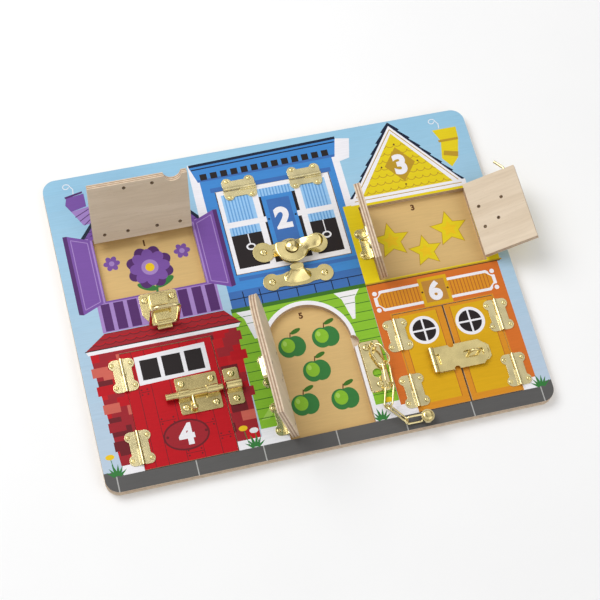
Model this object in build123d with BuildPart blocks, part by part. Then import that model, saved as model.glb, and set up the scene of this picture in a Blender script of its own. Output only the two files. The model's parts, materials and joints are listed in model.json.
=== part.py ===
from build123d import *
import math
import os

os.makedirs("parts", exist_ok=True)

# Board layout, in millimetres, from its left and bottom edges
left_margin = 33.4
hatch_length = 88.8
column_1_gap = 27.3
window_length = 106.0
column_2_gap = 17.2
yellow_pair_width = 100.2
right_margin = 21.1
bottom_margin = 13.5
red_door_height = 107.0
red_door_to_hatch = 50.2
hatch_height = 60.3
top_margin = 64.5
red_door_width = 80.5
red_door_shift = -3.5
green_door_width = 75.0
green_door_height = 118.5
green_door_shift = -6.0
green_door_to_window = 39.3
window_height = 84.0
orange_pair_width = 93.0
orange_pair_height = 93.0
orange_pair_shift = -2.5
orange_pair_to_yellow = 34.0
yellow_pair_height = 74.0
corner_radius = 12.0
notch_radius = 5.5
notch_rise = 76.2
scoop_radius = 8.0
scoop_depth = 6.5
scoop_from_corner = 13.5

# Sheet thicknesses and clearances
front_thickness = 6.0
back_thickness = 2.5
side_clearance = 0.8
running_clearance = 0.3
turning_clearance = 0.05

# How far each door stands open, in degrees
hatch_angle = 115.7
yellow_left_angle = 105.0
yellow_right_angle = 154.0
green_door_angle = 105.0

# Hinges
leaf_length = 30.0
leaf_width = 11.0
leaf_waist = 8.0
leaf_thickness = 0.8
leaf_lobe_radius = 4.7
leaf_screw_offset = 8.2
leaf_screw_spread = 10.3
barrel_radius = 1.5
barrel_height = 1.6
pin_radius = 0.75
hatch_hinge_spread = 23.3
window_hinge_spread = 30.4
red_hinge_spread = 33.0
orange_hinge_spread = 26.4
green_hinge_rises = (20.3, 64.5)

# Wood screws
screw_head_radius = 2.0
screw_shank_radius = 1.0
screw_length = 4.6
latch_head_radius = 2.4

# Latch plates
plate_thickness = 1.0
cut_overrun = 1.0

# Places worked out from the layout
board_length = (
    left_margin + hatch_length + column_1_gap + window_length
    + column_2_gap + yellow_pair_width + right_margin
)
board_width = bottom_margin + red_door_height + red_door_to_hatch + hatch_height + top_margin
board_top = back_thickness + front_thickness
left_edge = -board_length / 2
bottom_edge = -board_width / 2
bottom_row = bottom_edge + bottom_margin

hatch_x = left_edge + left_margin + hatch_length / 2
hatch_top = bottom_row + red_door_height + red_door_to_hatch + hatch_height
window_x = hatch_x + hatch_length / 2 + column_1_gap + window_length / 2
window_top = bottom_row + green_door_height + green_door_to_window + window_height
yellow_x = window_x + window_length / 2 + column_2_gap + yellow_pair_width / 2
yellow_y = bottom_row + orange_pair_height + orange_pair_to_yellow + yellow_pair_height / 2
red_x = hatch_x + red_door_shift
red_y = bottom_row + red_door_height / 2
green_x = window_x + green_door_shift
orange_x = yellow_x + orange_pair_shift
orange_y = bottom_row + orange_pair_height / 2
green_arch_y = bottom_row + green_door_height - green_door_width / 2


def seat(x, y, facing):
    """The board's face at a hinge line, with its x axis turned towards the door's free edge."""
    run = Vector(math.cos(math.radians(facing)), math.sin(math.radians(facing)), 0)
    return Plane(origin=(x, y, board_top), x_dir=run, z_dir=(0, 0, 1))


def swung(closed, angle):
    """The face of a door whose seat is given, opened by an angle about its hinge pin."""
    cosine = math.cos(math.radians(angle))
    sine = math.sin(math.radians(angle))
    pin_plane = Plane(
        origin=closed.offset(barrel_height).origin,
        x_dir=closed.x_dir * cosine + closed.z_dir * sine,
        z_dir=closed.z_dir * cosine - closed.x_dir * sine,
    )
    return pin_plane.offset(-barrel_height)


def turned(face, angle):
    """A plane turned in itself, about its own normal."""
    run = face.x_dir * math.cos(math.radians(angle)) + face.y_dir * math.sin(math.radians(angle))
    return Plane(origin=face.origin, x_dir=run, z_dir=face.z_dir)


def spot(face, along, across, height=0):
    """A plane parallel to a face, at a place given in the face's own directions."""
    origin = face.from_local_coords(Vector(along, across, height))
    return Plane(origin=origin, x_dir=face.x_dir, z_dir=face.z_dir)


def swing_reach(width):
    """How far a door's back corner swells past its free edge as it swings."""
    return math.hypot(width, front_thickness + barrel_height) - width


def single_width(opening):
    return opening - swing_reach(opening) - running_clearance


def pair_width(opening):
    return opening / 2 - swing_reach(opening / 2) - running_clearance / 2


hatch_seat = seat(hatch_x, hatch_top, -90)
window_seat = seat(window_x, window_top, -90)
yellow_left_seat = seat(yellow_x - yellow_pair_width / 2, yellow_y, 0)
yellow_right_seat = seat(yellow_x + yellow_pair_width / 2, yellow_y, 180)
red_seat = seat(red_x - red_door_width / 2, red_y, 0)
green_seat = seat(green_x - green_door_width / 2, bottom_row, 0)
orange_left_seat = seat(orange_x - orange_pair_width / 2, orange_y, 0)
orange_right_seat = seat(orange_x + orange_pair_width / 2, orange_y, 180)

hatch_face = swung(hatch_seat, hatch_angle)
yellow_left_face = swung(yellow_left_seat, yellow_left_angle)
yellow_right_face = swung(yellow_right_seat, yellow_right_angle)
green_face = swung(green_seat, green_door_angle)

hatch_hinges = (-hatch_hinge_spread, hatch_hinge_spread)
window_hinges = (-window_hinge_spread, window_hinge_spread)
red_hinges = (-red_hinge_spread, red_hinge_spread)
orange_hinges = (-orange_hinge_spread, orange_hinge_spread)
middle_hinge = (0,)

upper_hinges = (
    (hatch_seat, hatch_hinges),
    (window_seat, window_hinges),
    (yellow_left_seat, middle_hinge),
    (yellow_right_seat, middle_hinge),
)
lower_hinges = (
    (red_seat, red_hinges),
    (green_seat, green_hinge_rises),
    (orange_left_seat, orange_hinges),
    (orange_right_seat, orange_hinges),
)


def leaf_screw_spots(face, hinges, side):
    return [
        spot(face, side * leaf_screw_offset, middle + end * leaf_screw_spread, leaf_thickness)
        for middle in hinges
        for end in (-1, 1)
    ]


def make_leaves(faces_and_hinges, side):
    """Hinge leaves with one knuckle each, on the board's side (-1) or the door's side (1)."""
    plate_start = barrel_radius + running_clearance
    lobe_centre = leaf_width - leaf_lobe_radius
    knuckle_start = side * turning_clearance
    bore_radius = pin_radius + turning_clearance
    with BuildPart() as leaves:
        for face, hinges in faces_and_hinges:
            for middle in hinges:
                with BuildSketch(face):
                    with Locations((side * (plate_start + lobe_centre) / 2, middle)):
                        Rectangle(lobe_centre - plate_start, leaf_length)
                    with Locations((side * (plate_start + leaf_waist) / 2, middle)):
                        Rectangle(leaf_waist - plate_start, 2 * leaf_screw_spread)
                    with Locations(
                        (side * lobe_centre, middle - leaf_screw_spread),
                        (side * lobe_centre, middle + leaf_screw_spread),
                    ):
                        Circle(leaf_lobe_radius)
                extrude(amount=leaf_thickness)
                knuckle_end = side * leaf_length / 2
                knuckle_middle = middle + (knuckle_start + knuckle_end) / 2
                knuckle_length = abs(knuckle_end - knuckle_start)
                with BuildSketch(face):
                    with Locations((side * (pin_radius + plate_start + leaf_thickness) / 2, knuckle_middle)):
                        Rectangle(plate_start + leaf_thickness - pin_radius, knuckle_length)
                extrude(amount=barrel_height)
                barrel = Plane(
                    origin=spot(face, 0, knuckle_middle, barrel_height).origin,
                    x_dir=face.x_dir,
                    z_dir=face.y_dir,
                )
                with BuildSketch(barrel):
                    Circle(barrel_radius)
                extrude(amount=knuckle_length / 2, both=True)
                with BuildSketch(barrel):
                    Circle(bore_radius)
                extrude(amount=knuckle_length / 2 + cut_overrun, both=True, mode=Mode.SUBTRACT)
            with Locations(*leaf_screw_spots(face, hinges, side)):
                Cone(
                    screw_shank_radius + turning_clearance,
                    screw_head_radius + turning_clearance,
                    leaf_thickness,
                    align=(Align.CENTER, Align.CENTER, Align.MAX),
                    mode=Mode.SUBTRACT,
                )
    return leaves.part


def make_screws(spots, head_radius, thickness):
    """Countersunk wood screws, their heads flush with a plate of the thickness given."""
    with BuildPart() as screws:
        with Locations(*spots):
            Cone(
                screw_shank_radius,
                head_radius,
                thickness,
                align=(Align.CENTER, Align.CENTER, Align.MAX),
            )
        with Locations(*[place.offset(-thickness) for place in spots]):
            Cylinder(
                screw_shank_radius,
                screw_length,
                align=(Align.CENTER, Align.CENTER, Align.MAX),
            )
    return screws.part


def sink_screws(spots, head_radius, thickness):
    """Countersinks in a plate, made inside that plate's own block."""
    with Locations(*spots):
        Cone(
            screw_shank_radius + turning_clearance,
            head_radius + turning_clearance,
            thickness,
            align=(Align.CENTER, Align.CENTER, Align.MAX),
            mode=Mode.SUBTRACT,
        )


def drill(spots, thickness, depth):
    """Pilot holes in the wood under a plate, made inside the panel's own block."""
    with Locations(*[place.offset(-thickness) for place in spots]):
        Cylinder(
            screw_shank_radius + turning_clearance,
            depth,
            align=(Align.CENTER, Align.CENTER, Align.MAX),
            mode=Mode.SUBTRACT,
        )


# Draw latch, below the hatch: sizes and places
draw_plate_width = 33.0
draw_plate_height = 30.0
draw_plate_drop = 0.6
draw_plate_foot = 20.0
draw_plate_corner = 2.5
draw_bridge_width = 17.0
draw_bridge_height = 4.6
draw_bridge_corner = 2.5
draw_bridge_round = 1.0
draw_screw_spread = 12.0
draw_screw_drop = 6.0
draw_pivot_drop = 17.0
draw_pivot_height = 4.2
draw_ear_thickness = 1.7
draw_pin_radius = 1.2
draw_hub_radius = 2.5
lever_width = 12.8
lever_length = 19.0
lever_thickness = 1.6
lever_lip_radius = 1.5
bail_wire_radius = 1.5
bail_width = 27.0
bail_length = 41.5
bail_angle = 90.0
bail_bend_radius = 6.0
bail_pivot_run = 14.0
bail_pin_depth = 2.4
bail_boss_radius = 2.8

draw_top = hatch_top - hatch_height - draw_plate_drop
draw_face = Plane(origin=(hatch_x, draw_top, board_top))
draw_screw_spots = [
    spot(draw_face, side * draw_screw_spread, -draw_screw_drop, plate_thickness)
    for side in (-1, 1)
]
draw_pivot = spot(draw_face, 0, -draw_pivot_drop, draw_pivot_height)
bail_pivot = spot(draw_pivot, 0, -bail_pivot_run, 0)

# Draw latch strike on the hatch
strike_length = 30.0
strike_width = 8.0
strike_hook_length = 17.0
strike_from_edge = 4.8
strike_screw_spread = 12.3
strike_wall = 1.5
strike_lip = 2.0
strike_corner_share = 1 / 3
strike_height = 8.4

hatch_width = single_width(hatch_height)
strike_run = hatch_width - strike_from_edge
strike_screw_spots = [
    spot(hatch_face, strike_run, side * strike_screw_spread, plate_thickness)
    for side in (-1, 1)
]

# Sash lock on the window and its keeper on the board
sash_lobe_radius = 9.5
sash_lobe_spread = 24.5
sash_web = 12.0
sash_pivot_rise = 13.5
sash_lobe_lift = 3.0
sash_boss_radius = 12.0
sash_boss_top_radius = 8.0
sash_boss_height = 8.2
sash_cam_radius = 15.0
sash_cam_thickness = 2.6
sash_lever_length = 28.0
sash_lever_width = 8.0
sash_lever_tip_radius = 4.5
sash_lever_tip_shift = 1.5
sash_lever_waist = 2.25
sash_rivet_radius = 2.5
sash_dome_radius = 6.0
sash_dome_height = 2.2
sash_rivet_depth = 6.0
sash_dimple_radius = 1.2
sash_dimple_offset = 15.0
keeper_lobe_radius = 8.0
keeper_lobe_spread = 23.8
keeper_drop = 13.1
keeper_web = 15.0
keeper_hump_length = 26.0
keeper_hump_width = 14.0
keeper_nose_length = 12.0
keeper_nose_width = 6.0
keeper_nose_drop = 4.9
keeper_height = 7.8
keeper_hump_corner = 3.0
keeper_nose_corner = 2.0

window_width = single_width(window_height)
window_bottom = window_top - window_height
sash_pivot = spot(window_seat, window_height - sash_pivot_rise, 0, 0)
sash_screw_spots = [
    spot(sash_pivot, -sash_lobe_lift, side * sash_lobe_spread, plate_thickness)
    for side in (-1, 1)
]
keeper_face = Plane(origin=(window_x, window_bottom - keeper_drop, board_top))
keeper_screw_spots = [
    spot(keeper_face, side * keeper_lobe_spread, 0, plate_thickness) for side in (-1, 1)
]

# Hook on the right yellow door and its eye on the left one
hook_pivot_run = 26.0
hook_plate_spread = 9.8
hook_plate_angle = -65.8
hook_plate_shift = 2.2
hook_plate_width = 9.0
hook_post_radius = 1.7
hook_post_height = 6.6
hook_post_head_radius = 3.2
hook_post_head_height = 1.4
hook_wire_radius = 1.25
hook_eye_radius = 3.7
hook_lift = 2.4
hook_shank_length = 37.0
hook_lean = 10.5
hook_quarter_turn = 90.0
hook_bend_radius = 3.0
hook_corner_shares = ((1.105, 0.205), (1.373, -0.068))
eye_run = 24.0
eye_drop = 5.0
eye_plate_width = 8.0
eye_plate_length = 22.0
eye_screw_spread = 8.0
eye_corner_share = 1 / 3
eye_ring_radius = 3.6
eye_wire_radius = 0.9
eye_ring_height = 3.8

hook_pivot = spot(yellow_right_face, hook_pivot_run, 0)
hook_plate_plane = turned(spot(yellow_right_face, hook_pivot_run, -hook_plate_shift), hook_plate_angle)
hook_screw_spots = [
    spot(hook_plate_plane, end * hook_plate_spread, 0, plate_thickness) for end in (-1, 1)
]
eye_plane = spot(yellow_left_face, eye_run, -eye_drop)
eye_screw_spots = [
    spot(eye_plane, 0, end * eye_screw_spread, plate_thickness) for end in (-1, 1)
]

# Barrel bolt on the red door and its keeper on the board
bolt_plate_length = 36.0
bolt_plate_width = 33.5
bolt_plate_from_edge = 3.4
bolt_rise = 4.0
bolt_screw_spread_long = 13.0
bolt_screw_spread_short = 11.0
bolt_axis_height = 4.5
bolt_radius = 3.0
bolt_tube_radius = 4.3
bolt_loop_left = 10.0
bolt_loop_right = 9.5
bolt_window = 15.0
bolt_length = 50.0
bolt_stem_radius = 1.75
bolt_stem_length = 12.5
bolt_ball_radius = 2.9
bolt_bore_clearance = 0.1
bolt_plate_corner = 2.0
bolt_tip_bevel = 0.75
bolt_keeper_length = 13.0
bolt_keeper_play = 0.4
bolt_keeper_gap = 2.0
bolt_keeper_screw_spread = 11.5

red_width = single_width(red_door_width)
bolt_plane = spot(red_seat, red_width - bolt_plate_from_edge - bolt_plate_length / 2, bolt_rise)
bolt_throw = bolt_window - 2 * bolt_stem_radius - 2 * running_clearance
bolt_screw_spots = [
    spot(bolt_plane, long * bolt_screw_spread_long, short * bolt_screw_spread_short, plate_thickness)
    for long in (-1, 1)
    for short in (-1, 1)
]
bolt_keeper_plane = spot(
    bolt_plane,
    bolt_plate_length / 2 + bolt_plate_from_edge + red_door_width - red_width
    + bolt_keeper_gap + bolt_keeper_length / 2,
    0,
)
bolt_keeper_screw_spots = [
    spot(bolt_keeper_plane, 0, side * bolt_keeper_screw_spread, plate_thickness) for side in (-1, 1)
]

# Hasp across the orange pair
hasp_axis_run = 23.4
hasp_drop = 4.3
hasp_barrel_radius = 2.75
hasp_axis_height = 3.0
hasp_pin_radius = 1.2
hasp_width = 23.0
hasp_tongue = 9.5
hasp_leaf_length = 17.0
hasp_strap_length = 49.5
hasp_strap_thickness = 1.4
hasp_strap_height = 1.9
hasp_end_chamfer = 6.0
hasp_notch_radius = 2.7
hasp_notch_run = 18.8
hasp_slot_start = 27.8
hasp_slot_length = 18.0
hasp_slot_width = 7.0
hasp_slot_corner = 1.75
hasp_screw_spread = 7.5
hasp_screw_run = 12.0
staple_wire_radius = 1.3
staple_span = 9.4
staple_height = 11.0
staple_plate_length = 31.0
staple_plate_width = 16.0
staple_plate_chamfer = 3.0
staple_screw_spread = 11.5

orange_width = pair_width(orange_pair_width)
hasp_axis = spot(orange_left_seat, hasp_axis_run, -hasp_drop, hasp_axis_height)
hasp_screw_spots = [
    spot(hasp_axis, hasp_screw_run, side * hasp_screw_spread, plate_thickness - hasp_axis_height)
    for side in (-1, 1)
]
staple_run = orange_pair_width - hasp_axis_run - hasp_slot_start - hasp_slot_length / 2
staple_plane = spot(orange_right_seat, staple_run, hasp_drop)
staple_screw_spots = [
    spot(staple_plane, side * staple_screw_spread, 0, plate_thickness) for side in (-1, 1)
]

# Chain guard between the green door and the orange pair
anchor_width = 19.0
anchor_length = 48.0
anchor_corner_share = 1 / 6
anchor_thickness = 1.6
anchor_bevel = 1.0
anchor_from_door = 3.0
anchor_rise = 25.5
anchor_hole_radius = 4.0
anchor_hole_rise = 17.0
anchor_screw_rise = 6.5
anchor_tab_thickness = 1.6
anchor_tab_radius = 3.6
anchor_tab_hole = 1.9
anchor_tab_height = 5.8
anchor_tab_shares = (0.61, 0.84)
chain_wire_radius = 0.9
chain_gap = 0.9
ring_length = 22.0
ring_width = 13.0
link_length = 24.5
link_width = 12.0
end_link_length = 19.0
end_link_width = 9.5
chain_headings = (-71.0, -95.0, -109.0, -52.0, 0)
chain_rolls = (30.0, -45.0, 55.0, -55.0, 60.0)
chain_drops = (0, 0.2, 1.0, 0.8, 0.8)
knob_radius = 5.8
knob_height = 2.6
knob_neck_radius = 2.4
track_length = 42.0
track_width = 18.0
track_height = 4.6
track_wall = 1.0
track_slot = 6.0
track_key_radius = 6.6
track_end_tab = 7.5
track_foot_corner = 3.75
track_hump_corner = 1.875
track_run = 43.0
track_rise = 46.0

anchor_plane = Plane(
    origin=(
        green_x + green_door_width / 2 + anchor_from_door + anchor_width / 2,
        bottom_row + anchor_rise + anchor_length / 2,
        board_top,
    )
)
anchor_screw_spots = [
    spot(anchor_plane, 0, anchor_screw_rise - anchor_length / 2, anchor_thickness),
    spot(anchor_plane, -anchor_screw_rise / 2, anchor_length / 2 - anchor_screw_rise, anchor_thickness),
]
track_plane = spot(green_face, track_run, track_rise)
track_screw_spots = [
    spot(track_plane, end * (track_length + track_end_tab) / 2, 0, plate_thickness) for end in (-1, 1)
]

# Front board
with BuildPart() as front_board:
    with BuildSketch(Plane.XY.offset(back_thickness)):
        RectangleRounded(board_length, board_width, corner_radius)
        with Locations((hatch_x, hatch_top - hatch_height / 2)):
            Rectangle(hatch_length, hatch_height, mode=Mode.SUBTRACT)
        with Locations((window_x, window_top - window_height / 2)):
            Rectangle(window_length, window_height, mode=Mode.SUBTRACT)
        with Locations((yellow_x, yellow_y)):
            Rectangle(yellow_pair_width, yellow_pair_height, mode=Mode.SUBTRACT)
        with Locations((red_x, red_y)):
            Rectangle(red_door_width, red_door_height, mode=Mode.SUBTRACT)
        with Locations((orange_x, orange_y)):
            Rectangle(orange_pair_width, orange_pair_height, mode=Mode.SUBTRACT)
        with Locations((green_x, (bottom_row + green_arch_y) / 2)):
            Rectangle(green_door_width, green_arch_y - bottom_row, mode=Mode.SUBTRACT)
        with Locations((green_x, green_arch_y)):
            Circle(green_door_width / 2, mode=Mode.SUBTRACT)
        with Locations((green_x + green_door_width / 2, bottom_row + notch_rise)):
            Circle(notch_radius, mode=Mode.SUBTRACT)
    extrude(amount=front_thickness)
    for hinge_seat, hinge_places in upper_hinges + lower_hinges:
        drill(leaf_screw_spots(hinge_seat, hinge_places, -1), leaf_thickness, screw_length)
    drill(draw_screw_spots + keeper_screw_spots + bolt_keeper_screw_spots, plate_thickness, screw_length)
    drill(anchor_screw_spots, anchor_thickness, screw_length)
front_board.part.label = "front_board"
export_step(front_board.part, "parts/front_board.step")

# Back panel
with BuildPart() as back_panel:
    with BuildSketch(Plane.XY):
        RectangleRounded(board_length, board_width, corner_radius)
    extrude(amount=back_thickness)
back_panel.part.label = "back_panel"
export_step(back_panel.part, "parts/back_panel.step")

# Board halves of the hinges, the pins and the screws
fixed_leaves_upper = make_leaves(upper_hinges, -1)
fixed_leaves_upper.label = "fixed_leaves_upper"
export_step(fixed_leaves_upper, "parts/fixed_leaves_upper.step")

fixed_leaves_lower = make_leaves(lower_hinges, -1)
fixed_leaves_lower.label = "fixed_leaves_lower"
export_step(fixed_leaves_lower, "parts/fixed_leaves_lower.step")

with BuildPart() as hinge_pins:
    for hinge_seat, hinge_places in upper_hinges + lower_hinges:
        for hinge_place in hinge_places:
            pin_centre = spot(hinge_seat, 0, hinge_place, barrel_height).origin
            with BuildSketch(Plane(origin=pin_centre, x_dir=hinge_seat.x_dir, z_dir=hinge_seat.y_dir)):
                Circle(pin_radius)
            extrude(amount=leaf_length / 2, both=True)
hinge_pins.part.label = "hinge_pins"
export_step(hinge_pins.part, "parts/hinge_pins.step")

board_hinge_spots = []
for hinge_seat, hinge_places in upper_hinges + lower_hinges:
    board_hinge_spots += leaf_screw_spots(hinge_seat, hinge_places, -1)
board_hinge_screws = make_screws(board_hinge_spots, screw_head_radius, leaf_thickness)
board_hinge_screws.label = "board_hinge_screws"
export_step(board_hinge_screws, "parts/board_hinge_screws.step")

with BuildPart() as board_latch_screws:
    add(make_screws(draw_screw_spots + keeper_screw_spots, latch_head_radius, plate_thickness))
    add(make_screws(bolt_keeper_screw_spots, latch_head_radius, plate_thickness))
    add(make_screws(anchor_screw_spots, latch_head_radius, anchor_thickness))
board_latch_screws.part.label = "board_latch_screws"
export_step(board_latch_screws.part, "parts/board_latch_screws.step")


def write_leaves(name, face, hinges):
    leaves = make_leaves(((face, hinges),), 1)
    leaves.label = name
    export_step(leaves, f"parts/{name}.step")


def write_screws(name, face, hinges, latch_spots):
    """Screws of one door: those of its hinge leaves and those of its latch plate."""
    with BuildPart() as screws:
        add(make_screws(leaf_screw_spots(face, hinges, 1), screw_head_radius, leaf_thickness))
        if latch_spots:
            add(make_screws(latch_spots, latch_head_radius, plate_thickness))
    screws.part.label = name
    export_step(screws.part, f"parts/{name}.step")


def drill_door(face, hinges, latch_spots):
    """Pilot holes right through a door, for its hinge leaves and its latch plate."""
    depth = front_thickness + cut_overrun
    drill(leaf_screw_spots(face, hinges, 1), leaf_thickness, depth)
    if latch_spots:
        drill(latch_spots, plate_thickness, depth)


# House 1: the hatch
with BuildPart() as door_1_panel:
    with BuildSketch(hatch_face):
        with Locations(((running_clearance + hatch_width) / 2, 0)):
            Rectangle(hatch_width - running_clearance, hatch_length - 2 * side_clearance)
        with Locations((hatch_width + scoop_radius - scoop_depth, hatch_length / 2 - scoop_from_corner)):
            Circle(scoop_radius, mode=Mode.SUBTRACT)
    extrude(amount=-front_thickness)
    drill_door(hatch_face, hatch_hinges, strike_screw_spots)
door_1_panel.part.label = "door_1_panel"
export_step(door_1_panel.part, "parts/door_1_panel.step")

write_leaves("door_1_leaves", hatch_face, hatch_hinges)
write_screws("door_1_screws", hatch_face, hatch_hinges, strike_screw_spots)

with BuildPart() as latch_strike:
    strike_plane = spot(hatch_face, strike_run, 0)
    with BuildSketch(strike_plane):
        RectangleRounded(strike_width, strike_length, strike_width * strike_corner_share)
    extrude(amount=plate_thickness)
    strike_section = Plane(origin=strike_plane.origin, x_dir=strike_plane.x_dir, z_dir=-strike_plane.y_dir)
    with BuildSketch(strike_section):
        hook_back = -strike_width / 2
        with BuildLine():
            Polyline(
                (hook_back + strike_wall, 0),
                (hook_back + strike_wall, strike_height - strike_wall),
                (hook_back, strike_height),
                (hook_back - strike_lip, strike_height),
                (hook_back - strike_lip, strike_height - strike_wall),
                (hook_back, strike_height - strike_wall),
                (hook_back, 0),
                close=True,
            )
        make_face()
    extrude(amount=strike_hook_length / 2, both=True)
    sink_screws(strike_screw_spots, latch_head_radius, plate_thickness)
latch_strike.part.label = "latch_strike"
export_step(latch_strike.part, "parts/latch_strike.step")

# Draw latch: base with its bridge and ears
with BuildPart() as draw_latch_base:
    with BuildSketch(draw_face):
        with BuildLine():
            Polyline(
                (-draw_plate_width / 2, 0),
                (draw_plate_width / 2, 0),
                (draw_plate_width / 2, -draw_pivot_drop - draw_hub_radius),
                (draw_plate_foot / 2, -draw_plate_height),
                (-draw_plate_foot / 2, -draw_plate_height),
                (-draw_plate_width / 2, -draw_pivot_drop - draw_hub_radius),
                close=True,
            )
        make_face()
        fillet(vertices(), radius=draw_plate_corner)
    extrude(amount=plate_thickness)
    bridge_end = draw_pivot_drop - draw_hub_radius - running_clearance
    with BuildSketch(draw_face):
        with Locations((0, -(bridge_end + draw_hub_radius) / 2)):
            RectangleRounded(draw_bridge_width, bridge_end - draw_hub_radius, draw_bridge_corner)
    extrude(amount=draw_bridge_height)
    fillet(
        draw_latch_base.faces().sort_by(Axis.Z)[-1].edges(),
        radius=draw_bridge_round,
    )
    for side in (-1, 1):
        ear_plane = Plane(
            origin=spot(draw_pivot, side * (draw_bridge_width / 2 - draw_ear_thickness / 2), 0).origin,
            x_dir=(0, 1, 0),
            z_dir=(1, 0, 0),
        )
        with BuildSketch(ear_plane):
            Circle(draw_hub_radius)
            with Locations((0, -draw_pivot_height / 2)):
                Rectangle(2 * draw_hub_radius, draw_pivot_height)
            with Locations((draw_hub_radius, -draw_pivot_height / 2)):
                Rectangle(2 * draw_hub_radius, draw_pivot_height)
        extrude(amount=draw_ear_thickness / 2, both=True)
    with BuildSketch(Plane(origin=draw_pivot.origin, x_dir=(0, 1, 0), z_dir=(1, 0, 0))):
        Circle(draw_pin_radius + turning_clearance)
    extrude(amount=draw_plate_width, both=True, mode=Mode.SUBTRACT)
    sink_screws(draw_screw_spots, latch_head_radius, plate_thickness)
draw_latch_base.part.label = "draw_latch_base"
export_step(draw_latch_base.part, "parts/draw_latch_base.step")

with BuildPart() as draw_latch_pin:
    with BuildSketch(Plane(origin=draw_pivot.origin, x_dir=(0, 1, 0), z_dir=(1, 0, 0))):
        Circle(draw_pin_radius)
    extrude(amount=draw_bridge_width / 2, both=True)
draw_latch_pin.part.label = "draw_latch_pin"
export_step(draw_latch_pin.part, "parts/draw_latch_pin.step")

# Draw latch lever, a tongue on a hub with a boss for the bail
with BuildPart() as draw_latch_lever:
    lever_section = Plane(origin=draw_pivot.origin, x_dir=(0, -1, 0), z_dir=(-1, 0, 0))
    tongue_low = plate_thickness + running_clearance - draw_pivot_height
    with BuildSketch(lever_section):
        Circle(draw_hub_radius)
        with Locations((bail_pivot_run, 0)):
            Circle(bail_boss_radius)
        with BuildLine():
            Polyline(
                (0, tongue_low),
                (lever_length - lever_lip_radius, tongue_low),
                (lever_length - lever_lip_radius, tongue_low + lever_thickness),
                (0, tongue_low + lever_thickness),
                close=True,
            )
        make_face()
        with Locations((lever_length - lever_lip_radius, tongue_low + lever_lip_radius)):
            Circle(lever_lip_radius)
    extrude(amount=lever_width / 2, both=True)
    with BuildSketch(lever_section):
        Circle(draw_pin_radius + turning_clearance)
    extrude(amount=lever_width, both=True, mode=Mode.SUBTRACT)
    for side in (-1, 1):
        with BuildSketch(
            Plane(
                origin=spot(bail_pivot, side * lever_width / 2, 0).origin,
                x_dir=(0, 1, 0),
                z_dir=(-side, 0, 0),
            )
        ):
            Circle(bail_wire_radius + turning_clearance)
        extrude(amount=bail_pin_depth + running_clearance, mode=Mode.SUBTRACT)
draw_latch_lever.part.label = "draw_latch_lever"
export_step(draw_latch_lever.part, "parts/draw_latch_lever.step")

# Draw latch bail, one bent wire, lifted clear of the red door
with BuildPart() as draw_latch_bail:
    bail_sink = math.degrees(math.asin((draw_pivot_height - bail_wire_radius) / bail_length))
    bail_plane = bail_pivot.rotated((bail_sink - bail_angle, 0, 0))
    bail_leg = bail_width / 2 - bail_wire_radius
    bail_inner = lever_width / 2 - bail_pin_depth
    with BuildLine(bail_plane) as bail_path:
        FilletPolyline(
            (-bail_inner, 0),
            (-bail_leg, 0),
            (-bail_leg, -bail_length),
            (bail_leg, -bail_length),
            (bail_leg, 0),
            (bail_inner, 0),
            radius=(2 * bail_wire_radius, bail_bend_radius, bail_bend_radius, 2 * bail_wire_radius),
        )
    with BuildSketch(Plane(origin=bail_path.line @ 0, z_dir=bail_path.line % 0)):
        Circle(bail_wire_radius)
    sweep()
draw_latch_bail.part.label = "draw_latch_bail"
export_step(draw_latch_bail.part, "parts/draw_latch_bail.step")

# House 2: the window
with BuildPart() as door_2_panel:
    with BuildSketch(window_seat):
        with Locations(((running_clearance + window_width) / 2, 0)):
            Rectangle(window_width - running_clearance, window_length - 2 * side_clearance)
    extrude(amount=-front_thickness)
    drill_door(window_seat, window_hinges, sash_screw_spots)
door_2_panel.part.label = "door_2_panel"
export_step(door_2_panel.part, "parts/door_2_panel.step")

write_leaves("door_2_leaves", window_seat, window_hinges)
write_screws("door_2_screws", window_seat, window_hinges, sash_screw_spots)

with BuildPart() as sash_base:
    with BuildSketch(sash_pivot):
        with Locations((-sash_lobe_lift, -sash_lobe_spread), (-sash_lobe_lift, sash_lobe_spread)):
            Circle(sash_lobe_radius)
        with Locations((-sash_lobe_lift, 0)):
            Rectangle(sash_web, 2 * sash_lobe_spread)
        Circle(sash_boss_radius)
    extrude(amount=plate_thickness)
    with BuildSketch(sash_pivot.offset(plate_thickness)):
        Circle(sash_boss_radius - plate_thickness)
    with BuildSketch(sash_pivot.offset(sash_boss_height)):
        Circle(sash_boss_top_radius)
    loft()
    with Locations(sash_pivot.offset(sash_boss_height)):
        Cylinder(
            sash_rivet_radius + turning_clearance,
            sash_rivet_depth,
            align=(Align.CENTER, Align.CENTER, Align.MAX),
            mode=Mode.SUBTRACT,
        )
    with Locations(spot(sash_pivot, -sash_lobe_lift, -sash_dimple_offset, plate_thickness)):
        Cylinder(sash_dimple_radius, plate_thickness, mode=Mode.SUBTRACT)
    sink_screws(sash_screw_spots, latch_head_radius, plate_thickness)
sash_base.part.label = "sash_base"
export_step(sash_base.part, "parts/sash_base.step")

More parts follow.
